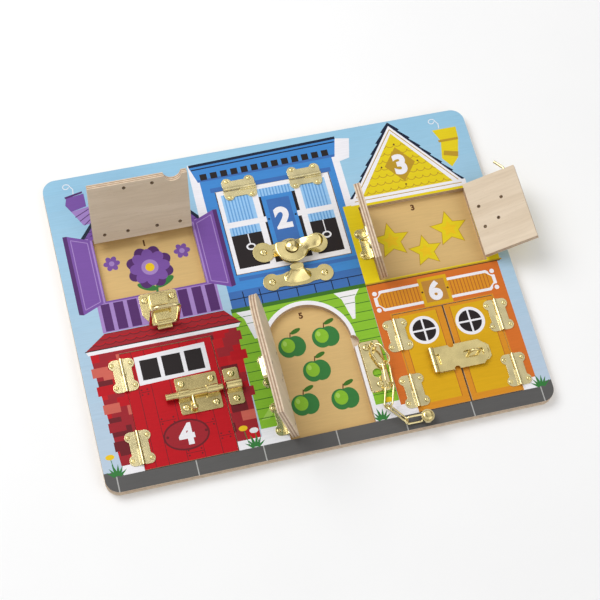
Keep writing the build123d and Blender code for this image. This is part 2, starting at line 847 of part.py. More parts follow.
with BuildPart() as sash_cam:
    cam_plane = sash_pivot.offset(sash_boss_height + running_clearance)
    with BuildSketch(cam_plane):
        Circle(sash_cam_radius)
        with Locations((-sash_cam_radius, 0)):
            Rectangle(sash_cam_radius * 2 - sash_dome_radius * 2, sash_cam_radius * 2, mode=Mode.SUBTRACT)
        with BuildLine():
            Polyline(
                (-sash_lever_width / 2, 0),
                (sash_lever_width / 2, 0),
                (sash_lever_waist, sash_lever_length - sash_lever_tip_radius),
                (-sash_lever_tip_radius, sash_lever_length - sash_lever_tip_radius),
                close=True,
            )
        make_face()
        with Locations((-sash_lever_tip_shift, sash_lever_length - sash_lever_tip_radius)):
            Circle(sash_lever_tip_radius)
        Circle(sash_rivet_radius + turning_clearance, mode=Mode.SUBTRACT)
    extrude(amount=sash_cam_thickness)
sash_cam.part.label = "sash_cam"
export_step(sash_cam.part, "parts/sash_cam.step")

with BuildPart() as sash_rivet:
    rivet_base = sash_pivot.offset(sash_boss_height - sash_rivet_depth)
    rivet_rise = sash_rivet_depth + sash_cam_thickness + 2 * running_clearance
    dome_curve = (sash_dome_radius**2 + sash_dome_height**2) / (2 * sash_dome_height)
    dome_half_turn = math.asin(sash_dome_radius / dome_curve) / 2
    rivet_section = Plane(origin=rivet_base.origin, x_dir=(1, 0, 0), z_dir=(0, -1, 0))
    with BuildSketch(rivet_section):
        with BuildLine():
            Line((0, 0), (sash_rivet_radius, 0))
            Line((sash_rivet_radius, 0), (sash_rivet_radius, rivet_rise))
            Line((sash_rivet_radius, rivet_rise), (sash_dome_radius, rivet_rise))
            ThreePointArc(
                (sash_dome_radius, rivet_rise),
                (
                    dome_curve * math.sin(dome_half_turn),
                    rivet_rise + sash_dome_height - dome_curve * (1 - math.cos(dome_half_turn)),
                ),
                (0, rivet_rise + sash_dome_height),
            )
            Line((0, rivet_rise + sash_dome_height), (0, 0))
        make_face()
    revolve(axis=Axis(rivet_base.origin, (0, 0, 1)))
sash_rivet.part.label = "sash_rivet"
export_step(sash_rivet.part, "parts/sash_rivet.step")

with BuildPart() as sash_keeper:
    with BuildSketch(keeper_face):
        with Locations((-keeper_lobe_spread, 0), (keeper_lobe_spread, 0)):
            Circle(keeper_lobe_radius)
        Rectangle(2 * keeper_lobe_spread, keeper_web)
    extrude(amount=plate_thickness)
    with BuildSketch(keeper_face):
        RectangleRounded(keeper_hump_length, keeper_hump_width, keeper_hump_corner)
    nose_top = keeper_face.offset(keeper_height)
    with BuildSketch(nose_top):
        with Locations((0, keeper_drop - keeper_nose_drop)):
            RectangleRounded(keeper_nose_length, keeper_nose_width, keeper_nose_corner)
    loft()
    sink_screws(keeper_screw_spots, latch_head_radius, plate_thickness)
sash_keeper.part.label = "sash_keeper"
export_step(sash_keeper.part, "parts/sash_keeper.step")

# House 3: two yellow doors
yellow_width = pair_width(yellow_pair_width)
with BuildPart() as door_3_left_panel:
    with BuildSketch(yellow_left_face):
        with Locations(((running_clearance + yellow_width) / 2, 0)):
            Rectangle(yellow_width - running_clearance, yellow_pair_height - 2 * side_clearance)
    extrude(amount=-front_thickness)
    drill_door(yellow_left_face, middle_hinge, eye_screw_spots)
door_3_left_panel.part.label = "door_3_left_panel"
export_step(door_3_left_panel.part, "parts/door_3_left_panel.step")

write_leaves("door_3_left_leaf", yellow_left_face, middle_hinge)
write_screws("door_3_left_screws", yellow_left_face, middle_hinge, eye_screw_spots)

with BuildPart() as hook_eye:
    with BuildSketch(eye_plane):
        RectangleRounded(eye_plate_width, eye_plate_length, eye_plate_width * eye_corner_share)
    extrude(amount=plate_thickness)
    with BuildLine(Plane(origin=eye_plane.origin, x_dir=eye_plane.x_dir, z_dir=-eye_plane.y_dir)) as eye_path:
        Line((-eye_ring_radius, 0), (-eye_ring_radius, eye_ring_height))
        ThreePointArc(
            (-eye_ring_radius, eye_ring_height),
            (0, eye_ring_height + eye_ring_radius),
            (eye_ring_radius, eye_ring_height),
        )
        Line((eye_ring_radius, eye_ring_height), (eye_ring_radius, 0))
    with BuildSketch(Plane(origin=eye_path.line @ 0, z_dir=eye_path.line % 0)):
        Circle(eye_wire_radius)
    sweep()
    sink_screws(eye_screw_spots, latch_head_radius, plate_thickness)
hook_eye.part.label = "hook_eye"
export_step(hook_eye.part, "parts/hook_eye.step")

with BuildPart() as door_3_right_panel:
    with BuildSketch(yellow_right_face):
        with Locations(((running_clearance + yellow_width) / 2, 0)):
            Rectangle(yellow_width - running_clearance, yellow_pair_height - 2 * side_clearance)
    extrude(amount=-front_thickness)
    drill_door(yellow_right_face, middle_hinge, hook_screw_spots)
door_3_right_panel.part.label = "door_3_right_panel"
export_step(door_3_right_panel.part, "parts/door_3_right_panel.step")

write_leaves("door_3_right_leaf", yellow_right_face, middle_hinge)
write_screws("door_3_right_screws", yellow_right_face, middle_hinge, hook_screw_spots)

with BuildPart() as hook_plate:
    with BuildSketch(hook_plate_plane):
        SlotCenterToCenter(2 * hook_plate_spread, hook_plate_width)
    extrude(amount=plate_thickness)
    with Locations(hook_pivot):
        Cylinder(
            hook_post_radius,
            hook_post_height,
            align=(Align.CENTER, Align.CENTER, Align.MIN),
        )
    with Locations(hook_pivot.offset(hook_lift + 2 * hook_wire_radius + running_clearance)):
        Cylinder(
            hook_post_head_radius,
            hook_post_head_height,
            align=(Align.CENTER, Align.CENTER, Align.MIN),
        )
    sink_screws(hook_screw_spots, latch_head_radius, plate_thickness)
hook_plate.part.label = "hook_plate"
export_step(hook_plate.part, "parts/hook_plate.step")

with BuildPart() as hook_arm:
    arm_plane = turned(hook_pivot.offset(hook_lift + hook_wire_radius), hook_lean - hook_quarter_turn)
    corner, tip = [
        (hook_shank_length * out, hook_shank_length * side)
        for out, side in hook_corner_shares
    ]
    with BuildLine(arm_plane) as arm_path:
        FilletPolyline(
            (hook_eye_radius - hook_wire_radius, 0),
            (hook_shank_length, 0),
            corner,
            tip,
            radius=hook_bend_radius,
        )
    with BuildSketch(Plane(origin=arm_path.line @ 0, z_dir=arm_path.line % 0)):
        Circle(hook_wire_radius)
    sweep()
    with BuildSketch(arm_plane):
        Circle(hook_eye_radius)
    extrude(amount=hook_wire_radius, both=True)
    with BuildSketch(arm_plane):
        Circle(hook_post_radius + turning_clearance)
    extrude(amount=hook_post_height, both=True, mode=Mode.SUBTRACT)
hook_arm.part.label = "hook_arm"
export_step(hook_arm.part, "parts/hook_arm.step")

# House 4: the red door
with BuildPart() as door_4_panel:
    with BuildSketch(red_seat):
        with Locations(((running_clearance + red_width) / 2, 0)):
            Rectangle(red_width - running_clearance, red_door_height - 2 * side_clearance)
    extrude(amount=-front_thickness)
    drill_door(red_seat, red_hinges, bolt_screw_spots)
door_4_panel.part.label = "door_4_panel"
export_step(door_4_panel.part, "parts/door_4_panel.step")

write_leaves("door_4_leaves", red_seat, red_hinges)
write_screws("door_4_screws", red_seat, red_hinges, bolt_screw_spots)

with BuildPart() as bolt_plate:
    with BuildSketch(bolt_plane):
        RectangleRounded(bolt_plate_length, bolt_plate_width, bolt_plate_corner)
    extrude(amount=plate_thickness)
    loop_starts = (
        (-bolt_plate_length / 2, bolt_loop_left),
        (-bolt_plate_length / 2 + bolt_loop_left + bolt_window, bolt_loop_right),
    )
    for loop_start, loop_length in loop_starts:
        with BuildSketch(
            Plane(
                origin=spot(bolt_plane, loop_start, 0, bolt_axis_height).origin,
                x_dir=(0, 1, 0),
                z_dir=(1, 0, 0),
            )
        ):
            Circle(bolt_tube_radius)
            with Locations((0, -bolt_axis_height / 2)):
                Rectangle(2 * bolt_tube_radius, bolt_axis_height)
            Circle(bolt_radius + bolt_bore_clearance, mode=Mode.SUBTRACT)
        extrude(amount=loop_length)
    sink_screws(bolt_screw_spots, latch_head_radius, plate_thickness)
bolt_plate.part.label = "bolt_plate"
export_step(bolt_plate.part, "parts/bolt_plate.step")

with BuildPart() as bolt_rod:
    rod_tip = bolt_plate_length / 2 + bolt_plate_from_edge
    rod_end = Plane(
        origin=spot(bolt_plane, rod_tip - bolt_length, 0, bolt_axis_height).origin,
        x_dir=(0, 1, 0),
        z_dir=(1, 0, 0),
    )
    with BuildSketch(rod_end):
        Circle(bolt_radius)
    extrude(amount=bolt_length)
    chamfer(bolt_rod.faces().sort_by(Axis.X)[-1].edges(), length=bolt_tip_bevel)
    stem_run = -bolt_plate_length / 2 + bolt_loop_left + running_clearance + bolt_stem_radius
    stem_start = spot(bolt_plane, stem_run, 0, bolt_axis_height)
    with BuildSketch(Plane(origin=stem_start.origin, x_dir=(1, 0, 0), z_dir=(0, -1, 0))):
        Circle(bolt_stem_radius)
    extrude(amount=bolt_stem_length)
    with Locations(spot(bolt_plane, stem_run, -bolt_stem_length, bolt_axis_height)):
        Sphere(bolt_ball_radius)
bolt_rod.part.label = "bolt_rod"
export_step(bolt_rod.part, "parts/bolt_rod.step")

with BuildPart() as bolt_keeper:
    with BuildSketch(bolt_keeper_plane):
        RectangleRounded(bolt_keeper_length, bolt_plate_width, bolt_plate_corner)
    extrude(amount=plate_thickness)
    with BuildSketch(
        Plane(
            origin=spot(bolt_keeper_plane, 0, 0, bolt_axis_height).origin,
            x_dir=(0, 1, 0),
            z_dir=(1, 0, 0),
        )
    ):
        Circle(bolt_tube_radius)
        with Locations((0, -bolt_axis_height / 2)):
            Rectangle(2 * bolt_tube_radius, bolt_axis_height)
        Circle(bolt_radius + bolt_keeper_play, mode=Mode.SUBTRACT)
    extrude(amount=bolt_keeper_length / 2, both=True)
    sink_screws(bolt_keeper_screw_spots, latch_head_radius, plate_thickness)
bolt_keeper.part.label = "bolt_keeper"
export_step(bolt_keeper.part, "parts/bolt_keeper.step")

# House 5: the arched green door
green_width = single_width(green_door_width)
with BuildPart() as door_5_panel:
    with BuildSketch(green_face):
        arch_rise = green_door_height - green_door_width / 2
        arch_gap = green_door_width - green_width
        with Locations(((running_clearance + green_width) / 2, (side_clearance + arch_rise) / 2)):
            Rectangle(green_width - running_clearance, arch_rise - side_clearance)
        with Locations((green_door_width / 2, arch_rise)):
            Circle(green_door_width / 2 - arch_gap)
    extrude(amount=-front_thickness)
    drill_door(green_face, green_hinge_rises, track_screw_spots)
door_5_panel.part.label = "door_5_panel"
export_step(door_5_panel.part, "parts/door_5_panel.step")

write_leaves("door_5_leaves", green_face, green_hinge_rises)
write_screws("door_5_screws", green_face, green_hinge_rises, track_screw_spots)

with BuildPart() as chain_track:
    with BuildSketch(track_plane):
        RectangleRounded(track_length + 2 * track_end_tab, track_width, track_foot_corner)
    extrude(amount=plate_thickness)
    with BuildSketch(track_plane):
        RectangleRounded(track_length, track_width, track_hump_corner)
    extrude(amount=track_height)
    with BuildSketch(track_plane):
        Rectangle(track_length - 2 * track_wall, track_width - 2 * track_wall)
    extrude(amount=track_height - track_wall, mode=Mode.SUBTRACT)
    with BuildSketch(track_plane):
        SlotCenterToCenter(track_length - 2 * track_key_radius - 2 * track_wall, track_slot)
        with Locations((2 * track_wall + track_key_radius - track_length / 2, 0)):
            Circle(track_key_radius)
    extrude(amount=track_height, mode=Mode.SUBTRACT)
    sink_screws(track_screw_spots, latch_head_radius, plate_thickness)
chain_track.part.label = "chain_track"
export_step(chain_track.part, "parts/chain_track.step")

# Chain anchor: a bevelled plate with a bent tab that the ring hangs in
tab_spot = spot(
    anchor_plane,
    anchor_width * (anchor_tab_shares[0] - 1 / 2),
    anchor_length * (anchor_tab_shares[1] - 1 / 2),
    anchor_tab_height + anchor_thickness,
)
ring_run = Vector(1, 0, 0).rotate(Axis.Z, chain_headings[0])
with BuildPart() as chain_anchor:
    with BuildSketch(anchor_plane):
        RectangleRounded(anchor_width, anchor_length, anchor_width * anchor_corner_share)
    extrude(amount=anchor_thickness)
    chamfer(chain_anchor.faces().sort_by(Axis.Z)[-1].edges(), length=anchor_bevel)
    with Locations(spot(anchor_plane, 0, anchor_hole_rise - anchor_length / 2)):
        Cylinder(
            anchor_hole_radius,
            2 * anchor_thickness + cut_overrun,
            mode=Mode.SUBTRACT,
        )
    with BuildSketch(Plane(origin=tab_spot.origin, x_dir=ring_run, z_dir=ring_run.rotate(Axis.Z, -90))):
        Circle(anchor_tab_radius)
        with Locations((0, -anchor_tab_height / 2)):
            Rectangle(2 * anchor_tab_radius, anchor_tab_height)
        Circle(anchor_tab_hole, mode=Mode.SUBTRACT)
    extrude(amount=anchor_tab_thickness / 2, both=True)
    sink_screws(anchor_screw_spots, latch_head_radius, anchor_thickness)
chain_anchor.part.label = "chain_anchor"
export_step(chain_anchor.part, "parts/chain_anchor.step")


def link_plane(start, heading, roll, drop, length):
    """The plane of a link whose near end wire is centred at start, and the middle of its far end wire."""
    flat = Vector(1, 0, 0).rotate(Axis.Z, heading)
    run = Vector(flat.X * length, flat.Y * length, -drop).normalized()
    middle = start + run * (length / 2)
    side = run.cross(Vector(0, 0, 1)).normalized()
    up = side.cross(run)
    normal = up * math.cos(math.radians(roll)) + side * math.sin(math.radians(roll))
    return Plane(origin=middle, x_dir=run, z_dir=normal), start + run * length


def bend_link(plane, length, width):
    """One closed wire link, its length and width measured over the wire's centre line."""
    bend = width / 2
    straight = length / 2 - bend
    with BuildPart() as link:
        with BuildLine(plane) as path:
            Line((-straight, bend), (straight, bend))
            ThreePointArc((straight, bend), (straight + bend, 0), (straight, -bend))
            Line((straight, -bend), (-straight, -bend))
            ThreePointArc((-straight, -bend), (-straight - bend, 0), (-straight, bend))
        with BuildSketch(Plane(origin=path.line @ 0, z_dir=path.line % 0)):
            Circle(chain_wire_radius)
        sweep()
    return link.part


# Chain: a ring in the anchor's tab, three links and an end link with its knob
chain_sizes = (
    ("chain_ring", ring_length, ring_width),
    ("chain_link_1", link_length, link_width),
    ("chain_link_2", link_length, link_width),
    ("chain_link_3", link_length, link_width),
    ("chain_end_link", end_link_length, end_link_width),
)
wire_pitch = 2 * chain_wire_radius + chain_gap
link_start = tab_spot.origin
for number, (link_name, outer_length, outer_width) in enumerate(chain_sizes):
    centre_length = outer_length - 2 * chain_wire_radius
    plane, link_far_end = link_plane(
        link_start,
        chain_headings[number],
        chain_rolls[number],
        chain_drops[number],
        centre_length,
    )
    link_part = bend_link(plane, centre_length, outer_width - 2 * chain_wire_radius)
    if link_name == "chain_end_link":
        with BuildPart() as end_link:
            add(link_part)
            knob_plane = Plane(origin=link_far_end + plane.x_dir * knob_neck_radius)
            with Locations(knob_plane):
                Cylinder(
                    knob_neck_radius,
                    2 * knob_height,
                    align=(Align.CENTER, Align.CENTER, Align.CENTER),
                )
            with Locations(knob_plane.offset(chain_wire_radius)):
                Cylinder(
                    knob_radius,
                    knob_height,
                    align=(Align.CENTER, Align.CENTER, Align.MIN),
                )
        link_part = end_link.part
    link_part.label = link_name
    export_step(link_part, f"parts/{link_name}.step")
    if number + 1 < len(chain_sizes):
        next_run = Vector(1, 0, 0).rotate(Axis.Z, chain_headings[number + 1])
        contact = link_far_end - plane.x_dir * (wire_pitch / 2)
        link_start = contact - next_run * (wire_pitch / 2)

# House 6: two orange doors
with BuildPart() as door_6_left_panel:
    with BuildSketch(orange_left_seat):
        with Locations(((running_clearance + orange_width) / 2, 0)):
            Rectangle(orange_width - running_clearance, orange_pair_height - 2 * side_clearance)
    extrude(amount=-front_thickness)
    drill_door(orange_left_seat, orange_hinges, hasp_screw_spots)
door_6_left_panel.part.label = "door_6_left_panel"
export_step(door_6_left_panel.part, "parts/door_6_left_panel.step")

write_leaves("door_6_left_leaves", orange_left_seat, orange_hinges)
write_screws("door_6_left_screws", orange_left_seat, orange_hinges, hasp_screw_spots)

hasp_barrel = Plane(origin=hasp_axis.origin, x_dir=(1, 0, 0), z_dir=(0, -1, 0))
with BuildPart() as hasp_base:
    with BuildSketch(spot(hasp_axis, 0, 0, -hasp_axis_height)):
        with Locations((hasp_leaf_length / 2, 0)):
            Rectangle(hasp_leaf_length, hasp_tongue)
        with Locations(((hasp_barrel_radius + running_clearance + hasp_leaf_length) / 2, 0)):
            Rectangle(hasp_leaf_length - hasp_barrel_radius - running_clearance, hasp_width)
    extrude(amount=plate_thickness)
    with BuildSketch(hasp_barrel):
        Circle(hasp_barrel_radius)
        Circle(hasp_pin_radius + turning_clearance, mode=Mode.SUBTRACT)
    extrude(amount=hasp_tongue / 2, both=True)
    sink_screws(hasp_screw_spots, latch_head_radius, plate_thickness)
hasp_base.part.label = "hasp_base"
export_step(hasp_base.part, "parts/hasp_base.step")

with BuildPart() as hasp_pin:
    with BuildSketch(hasp_barrel):
        Circle(hasp_pin_radius)
    extrude(amount=hasp_width / 2, both=True)
hasp_pin.part.label = "hasp_pin"
export_step(hasp_pin.part, "parts/hasp_pin.step")

with BuildPart() as hasp_strap:
    knuckle_gap = hasp_tongue + 2 * running_clearance
    with BuildSketch(hasp_barrel):
        Circle(hasp_barrel_radius)
    extrude(amount=hasp_width / 2, both=True)
    with BuildSketch(spot(hasp_axis, 0, 0, hasp_strap_height - hasp_axis_height)):
        with BuildLine():
            Polyline(
                (0, -hasp_width / 2),
                (hasp_strap_length - hasp_end_chamfer, -hasp_width / 2),
                (hasp_strap_length, hasp_end_chamfer - hasp_width / 2),
                (hasp_strap_length, hasp_width / 2 - hasp_end_chamfer),
                (hasp_strap_length - hasp_end_chamfer, hasp_width / 2),
                (0, hasp_width / 2),
                close=True,
            )
        make_face()
        with Locations((hasp_notch_run, -hasp_width / 2), (hasp_notch_run, hasp_width / 2)):
            Circle(hasp_notch_radius, mode=Mode.SUBTRACT)
        with Locations((hasp_slot_start + hasp_slot_length / 2, 0)):
            RectangleRounded(hasp_slot_length, hasp_slot_width, hasp_slot_corner, mode=Mode.SUBTRACT)
    extrude(amount=hasp_strap_thickness)
    with BuildSketch(hasp_barrel):
        with Locations((hasp_barrel_radius - hasp_pin_radius, 0)):
            Rectangle(
                2 * (2 * hasp_barrel_radius - hasp_pin_radius) + running_clearance,
                2 * hasp_barrel_radius + cut_overrun,
            )
    extrude(amount=knuckle_gap / 2, both=True, mode=Mode.SUBTRACT)
    with BuildSketch(hasp_barrel):
        Circle(hasp_pin_radius + turning_clearance)
    extrude(amount=hasp_width, both=True, mode=Mode.SUBTRACT)
hasp_strap.part.label = "hasp_strap"
export_step(hasp_strap.part, "parts/hasp_strap.step")

with BuildPart() as door_6_right_panel:
    with BuildSketch(orange_right_seat):
        with Locations(((running_clearance + orange_width) / 2, 0)):
            Rectangle(orange_width - running_clearance, orange_pair_height - 2 * side_clearance)
    extrude(amount=-front_thickness)
    drill_door(orange_right_seat, orange_hinges, staple_screw_spots)
door_6_right_panel.part.label = "door_6_right_panel"
export_step(door_6_right_panel.part, "parts/door_6_right_panel.step")

write_leaves("door_6_right_leaves", orange_right_seat, orange_hinges)
write_screws("door_6_right_screws", orange_right_seat, orange_hinges, staple_screw_spots)

with BuildPart() as hasp_staple:
    with BuildSketch(staple_plane):
        Rectangle(staple_plate_length, staple_plate_width)
        chamfer(vertices(), length=staple_plate_chamfer)
    extrude(amount=plate_thickness)
    staple_leg = staple_height - staple_wire_radius - staple_span / 2
    staple_upright = Plane(origin=staple_plane.origin, x_dir=(1, 0, 0), z_dir=(0, -1, 0))
    with BuildLine(staple_upright) as staple_path:
        Line((-staple_span / 2, 0), (-staple_span / 2, staple_leg))
        ThreePointArc(
            (-staple_span / 2, staple_leg),
            (0, staple_leg + staple_span / 2),
            (staple_span / 2, staple_leg),
        )
        Line((staple_span / 2, staple_leg), (staple_span / 2, 0))
    with BuildSketch(Plane(origin=staple_path.line @ 0, z_dir=staple_path.line % 0)):
        Circle(staple_wire_radius)
    sweep()
    sink_screws(staple_screw_spots, latch_head_radius, plate_thickness)
hasp_staple.part.label = "hasp_staple"
export_step(hasp_staple.part, "parts/hasp_staple.step")
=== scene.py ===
import json
import math
import random

import bpy
from mathutils import Matrix, Vector
from mathutils.geometry import delaunay_2d_cdt


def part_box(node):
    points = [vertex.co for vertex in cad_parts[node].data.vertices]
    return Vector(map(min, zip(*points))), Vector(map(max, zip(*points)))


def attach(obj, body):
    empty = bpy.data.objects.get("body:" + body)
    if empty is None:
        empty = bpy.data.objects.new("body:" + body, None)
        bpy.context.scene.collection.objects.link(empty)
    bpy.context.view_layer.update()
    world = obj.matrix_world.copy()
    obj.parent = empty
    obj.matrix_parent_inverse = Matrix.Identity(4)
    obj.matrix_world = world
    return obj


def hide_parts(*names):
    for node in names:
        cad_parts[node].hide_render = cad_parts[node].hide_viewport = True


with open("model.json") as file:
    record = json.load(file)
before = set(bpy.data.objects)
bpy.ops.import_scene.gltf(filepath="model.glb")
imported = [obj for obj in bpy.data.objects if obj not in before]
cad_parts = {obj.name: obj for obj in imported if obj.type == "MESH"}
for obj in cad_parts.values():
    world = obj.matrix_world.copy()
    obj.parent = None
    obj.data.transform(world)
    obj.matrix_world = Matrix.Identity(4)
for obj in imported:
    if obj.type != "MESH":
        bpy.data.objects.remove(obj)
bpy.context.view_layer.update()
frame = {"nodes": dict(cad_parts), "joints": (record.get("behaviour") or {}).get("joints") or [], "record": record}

mm = 0.001
board_low, board_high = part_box("front_board")
board_top = board_high.z
pocket_floor = board_low.z
sheet_thickness = board_top - pocket_floor
ink_lift = 0.03 * mm
circle_steps = 48
apple_steps = 32
leaf_steps = 24
shine_steps = 16
dot_steps = 12
nail_steps = 10

joint_of = {joint["child"]: joint for joint in frame["joints"]}
nodes = frame["nodes"]
bodies = frame["record"]["behaviour"]["bodies"]

inks = {
    "sky_low": (188, 204, 221),
    "sky_high": (152, 199, 225),
    "pavement": (92, 91, 90),
    "joint": (176, 176, 173),
    "white": (240, 238, 242),
    "black": (38, 32, 33),
    "navy": (27, 36, 58),
    "purple": (122, 82, 162),
    "deep_purple": (84, 45, 106),
    "lilac": (164, 132, 196),
    "blue": (66, 136, 206),
    "mid_blue": (63, 110, 178),
    "pale_blue": (152, 198, 238),
    "curtain": (104, 160, 216),
    "green": (137, 190, 50),
    "light_green": (166, 208, 92),
    "deep_green": (62, 112, 38),
    "leaf": (56, 124, 62),
    "red": (190, 14, 28),
    "bright_red": (196, 24, 32),
    "brick": (158, 34, 44),
    "salmon": (206, 100, 86),
    "maroon": (108, 28, 36),
    "yellow": (228, 205, 30),
    "sun": (236, 196, 30),
    "gold": (188, 150, 42),
    "amber": (218, 168, 22),
    "apricot": (216, 142, 36),
    "orange": (212, 112, 42),
    "rust": (176, 96, 40),
    "bronze": (190, 136, 58),
    "brown": (96, 60, 34),
    "inner": (216, 182, 122),
}


def linear(colour):
    """A colour written 0 to 255 for the screen, as light."""
    shares = [value / 255 for value in colour]
    return [s / 12.92 if s <= 0.04045 else ((s + 0.055) / 1.055) ** 2.4 for s in shares]


def blended(first, second, share):
    return tuple(a + (b - a) * share for a, b in zip(first, second))


# Artwork


def block(x0, y0, x1, y1):
    return [(x0, y0), (x1, y0), (x1, y1), (x0, y1)]


def around(steps, lean=0):
    """The cosine and sine of evenly spaced turns about a circle."""
    turns = [2 * math.pi * step / steps + lean for step in range(steps)]
    return [(math.cos(turn), math.sin(turn)) for turn in turns]


def oval(x, y, across, tall=None, steps=circle_steps):
    tall = across if tall is None else tall
    return [(x + across * c, y + tall * s) for c, s in around(steps)]


def turned(points, x, y, degrees):
    """Points about the origin, turned and moved to a place."""
    c = math.cos(math.radians(degrees))
    s = math.sin(math.radians(degrees))
    return [(x + px * c - py * s, y + px * s + py * c) for px, py in points]


def mirrored(points, middle):
    return [(2 * middle - x, y) for x, y in points]


def extent(points):
    """The lowest and highest x and y of an outline."""
    xs = [x for x, y in points]
    ys = [y for x, y in points]
    return min(xs), min(ys), max(xs), max(ys)


def staggered(left, right, width, rows):
    """The places in rows that are set off by half a width from each other."""
    for row in range(rows):
        start = left - (row % 2) * width / 2
        for place in range(int((right - start) / width) + 1):
            yield row, start, place


def clipped(points, region):
    """The part of a convex shape that lies inside a convex region, whose points run counter-clockwise."""
    for (ax, ay), (bx, by) in zip(region, region[1:] + region[:1]):
        kept = []
        sides = [(bx - ax) * (y - ay) - (by - ay) * (x - ax) for x, y in points]
        for place, point in enumerate(points):
            before = place - 1
            if (sides[place] >= 0) != (sides[before] >= 0):
                share = sides[before] / (sides[before] - sides[place])
                kept.append(blended(points[before], point, share))
            if sides[place] >= 0:
                kept.append(point)
        points = kept
        if not points:
            return []
    return points


def holds(outline, place):
    """Whether a place lies inside an outline."""
    inside = False
    for (ax, ay), (bx, by) in zip(outline, outline[1:] + outline[:1]):
        if (ay > place.y) != (by > place.y) and place.x < ax + (bx - ax) * (place.y - ay) / (by - ay):
            inside = not inside
    return inside


shingle_steps = 6
shingle_depth = 0.4
shingle_line = 0.7
numeral_weight = 0.05
numeral_steps = 6
merge_distance = 0.001
inside_only = 1


class Artwork:
    """Flat coloured shapes in millimetres on the closed board; a later shape lies over an earlier one."""

    def __init__(self):
        self.shapes = []

    def fill(self, ink, points, region=None):
        if region is not None:
            points = clipped(points, region)
        if len(points) > 2:
            colour = inks[ink] if isinstance(ink, str) else ink
            self.shapes.append((colour, points))

    def block(self, ink, *corners):
        self.fill(ink, block(*corners))

    def oval(self, ink, *sizes, **steps):
        self.fill(ink, oval(*sizes, **steps))

    def dot(self, ink, x, y, radius):
        self.fill(ink, oval(x, y, radius, steps=dot_steps))

    def cut(self, points):
        self.shapes.append((None, points))

    def line(self, ink, points, width, region=None):
        for (ax, ay), (bx, by) in zip(points, points[1:]):
            run = math.hypot(bx - ax, by - ay)
            sx = (ay - by) / run * width / 2
            sy = (bx - ax) / run * width / 2
            strip = [(ax + sx, ay + sy), (ax - sx, ay - sy), (bx - sx, by - sy), (bx + sx, by + sy)]
            self.fill(ink, strip[::-1] if sx * (by - ay) - sy * (bx - ax) > 0 else strip, region)

    def cross(self, ink, x, y, half_x, half_y, width):
        """Two window bars that cross."""
        self.line(ink, [(x, y - half_y), (x, y + half_y)], width)
        self.line(ink, [(x - half_x, y), (x + half_x, y)], width)

    def rows(self, ink, region, low, high, step, width):
        """Level lines across a region."""
        left, _, right, _ = extent(region)
        for number in range(int((high - low) / step) + 1):
            y = low + number * step
            self.fill(ink, block(left, y - width / 2, right, y + width / 2), region)

    def columns(self, ink, region, step, width):
        """Upright lines across a region."""
        left, low, right, high = extent(region)
        for number in range(1, int((right - left) / step)):
            x = left + number * step
            self.fill(ink, block(x - width / 2, low, x + width / 2, high), region)

    def bricks(self, colours, region, size, seed):
        """Staggered bricks of mixed colours in a region."""
        chance = random.Random(seed)
        left, low, right, high = extent(region)
        width, height = size
        for row, start, place in staggered(left, right, width, int((high - low) / height) + 1):
            x = start + place * width
            y = low + row * height
            self.fill(chance.choice(colours), block(x, y, x + width, y + height), region)

    def scallops(self, ink, region, size, low, rows):
        """Rows of round shingle ends, as thin arcs."""
        left, _, right, _ = extent(region)
        width, height = size
        turns = [math.pi * step / shingle_steps for step in range(shingle_steps + 1)]
        for row, start, place in staggered(left, right, width, rows):
            x = start + (place + 0.5) * width
            y = low + row * height
            arc = [
                (x + width / 2 * math.cos(turn), y - height * shingle_depth * math.sin(turn))
                for turn in turns
            ]
            self.line(ink, arc, shingle_line, region)

    def digit(self, ink, text, x, y, height):
        """A plain numeral, centred on a place."""
        curve = bpy.data.curves.new("numeral", "FONT")
        curve.body = text
        curve.offset = numeral_weight
        curve.resolution_u = numeral_steps
        holder = bpy.data.objects.new("numeral", curve)
        bpy.context.scene.collection.objects.link(holder)
        bpy.context.view_layer.update()
        outline = bpy.data.meshes.new_from_object(holder)
        left, low, right, high = extent([v.co.xy for v in outline.vertices])
        scale = height / (high - low)
        x0 = (right + left) / 2
        y0 = (high + low) / 2
        for polygon in outline.polygons:
            corners = [outline.vertices[v].co for v in polygon.vertices]
            self.fill(ink, [(x + (c.x - x0) * scale, y + (c.y - y0) * scale) for c in corners])
        bpy.data.meshes.remove(outline)
        bpy.data.objects.remove(holder)
        bpy.data.curves.remove(curve)

    def drawn(self):
        """Corner points, triangles and a colour for each triangle."""
        points = []
        faces = []
        for colour, outline in self.shapes:
            area = sum(a[0] * b[1] - b[0] * a[1] for a, b in zip(outline, outline[1:] + outline[:1]))
            ordered = outline if area > 0 else outline[::-1]
            faces.append(list(range(len(points), len(points) + len(ordered))))
            points += [Vector(point) for point in ordered]
        corners, _, triangles, _, _, sources = delaunay_2d_cdt(
            points, [], faces, inside_only, merge_distance, True
        )
        kept = []
        colours = []
        for triangle, covering in zip(triangles, sources):
            middle = sum((corners[v] for v in triangle), Vector((0, 0))) / len(triangle)
            over = [shape for shape in sorted(covering) if holds(self.shapes[shape][1], middle)]
            colour = self.shapes[over[-1]][0] if over else None
            if colour is not None:
                kept.append(triangle)
                colours.append(linear(colour))
        used = sorted({corner for triangle in kept for corner in triangle})
        place_of = {corner: place for place, corner in enumerate(used)}
        faces = [[place_of[corner] for corner in triangle] for triangle in kept]
        return [corners[corner] for corner in used], faces, colours


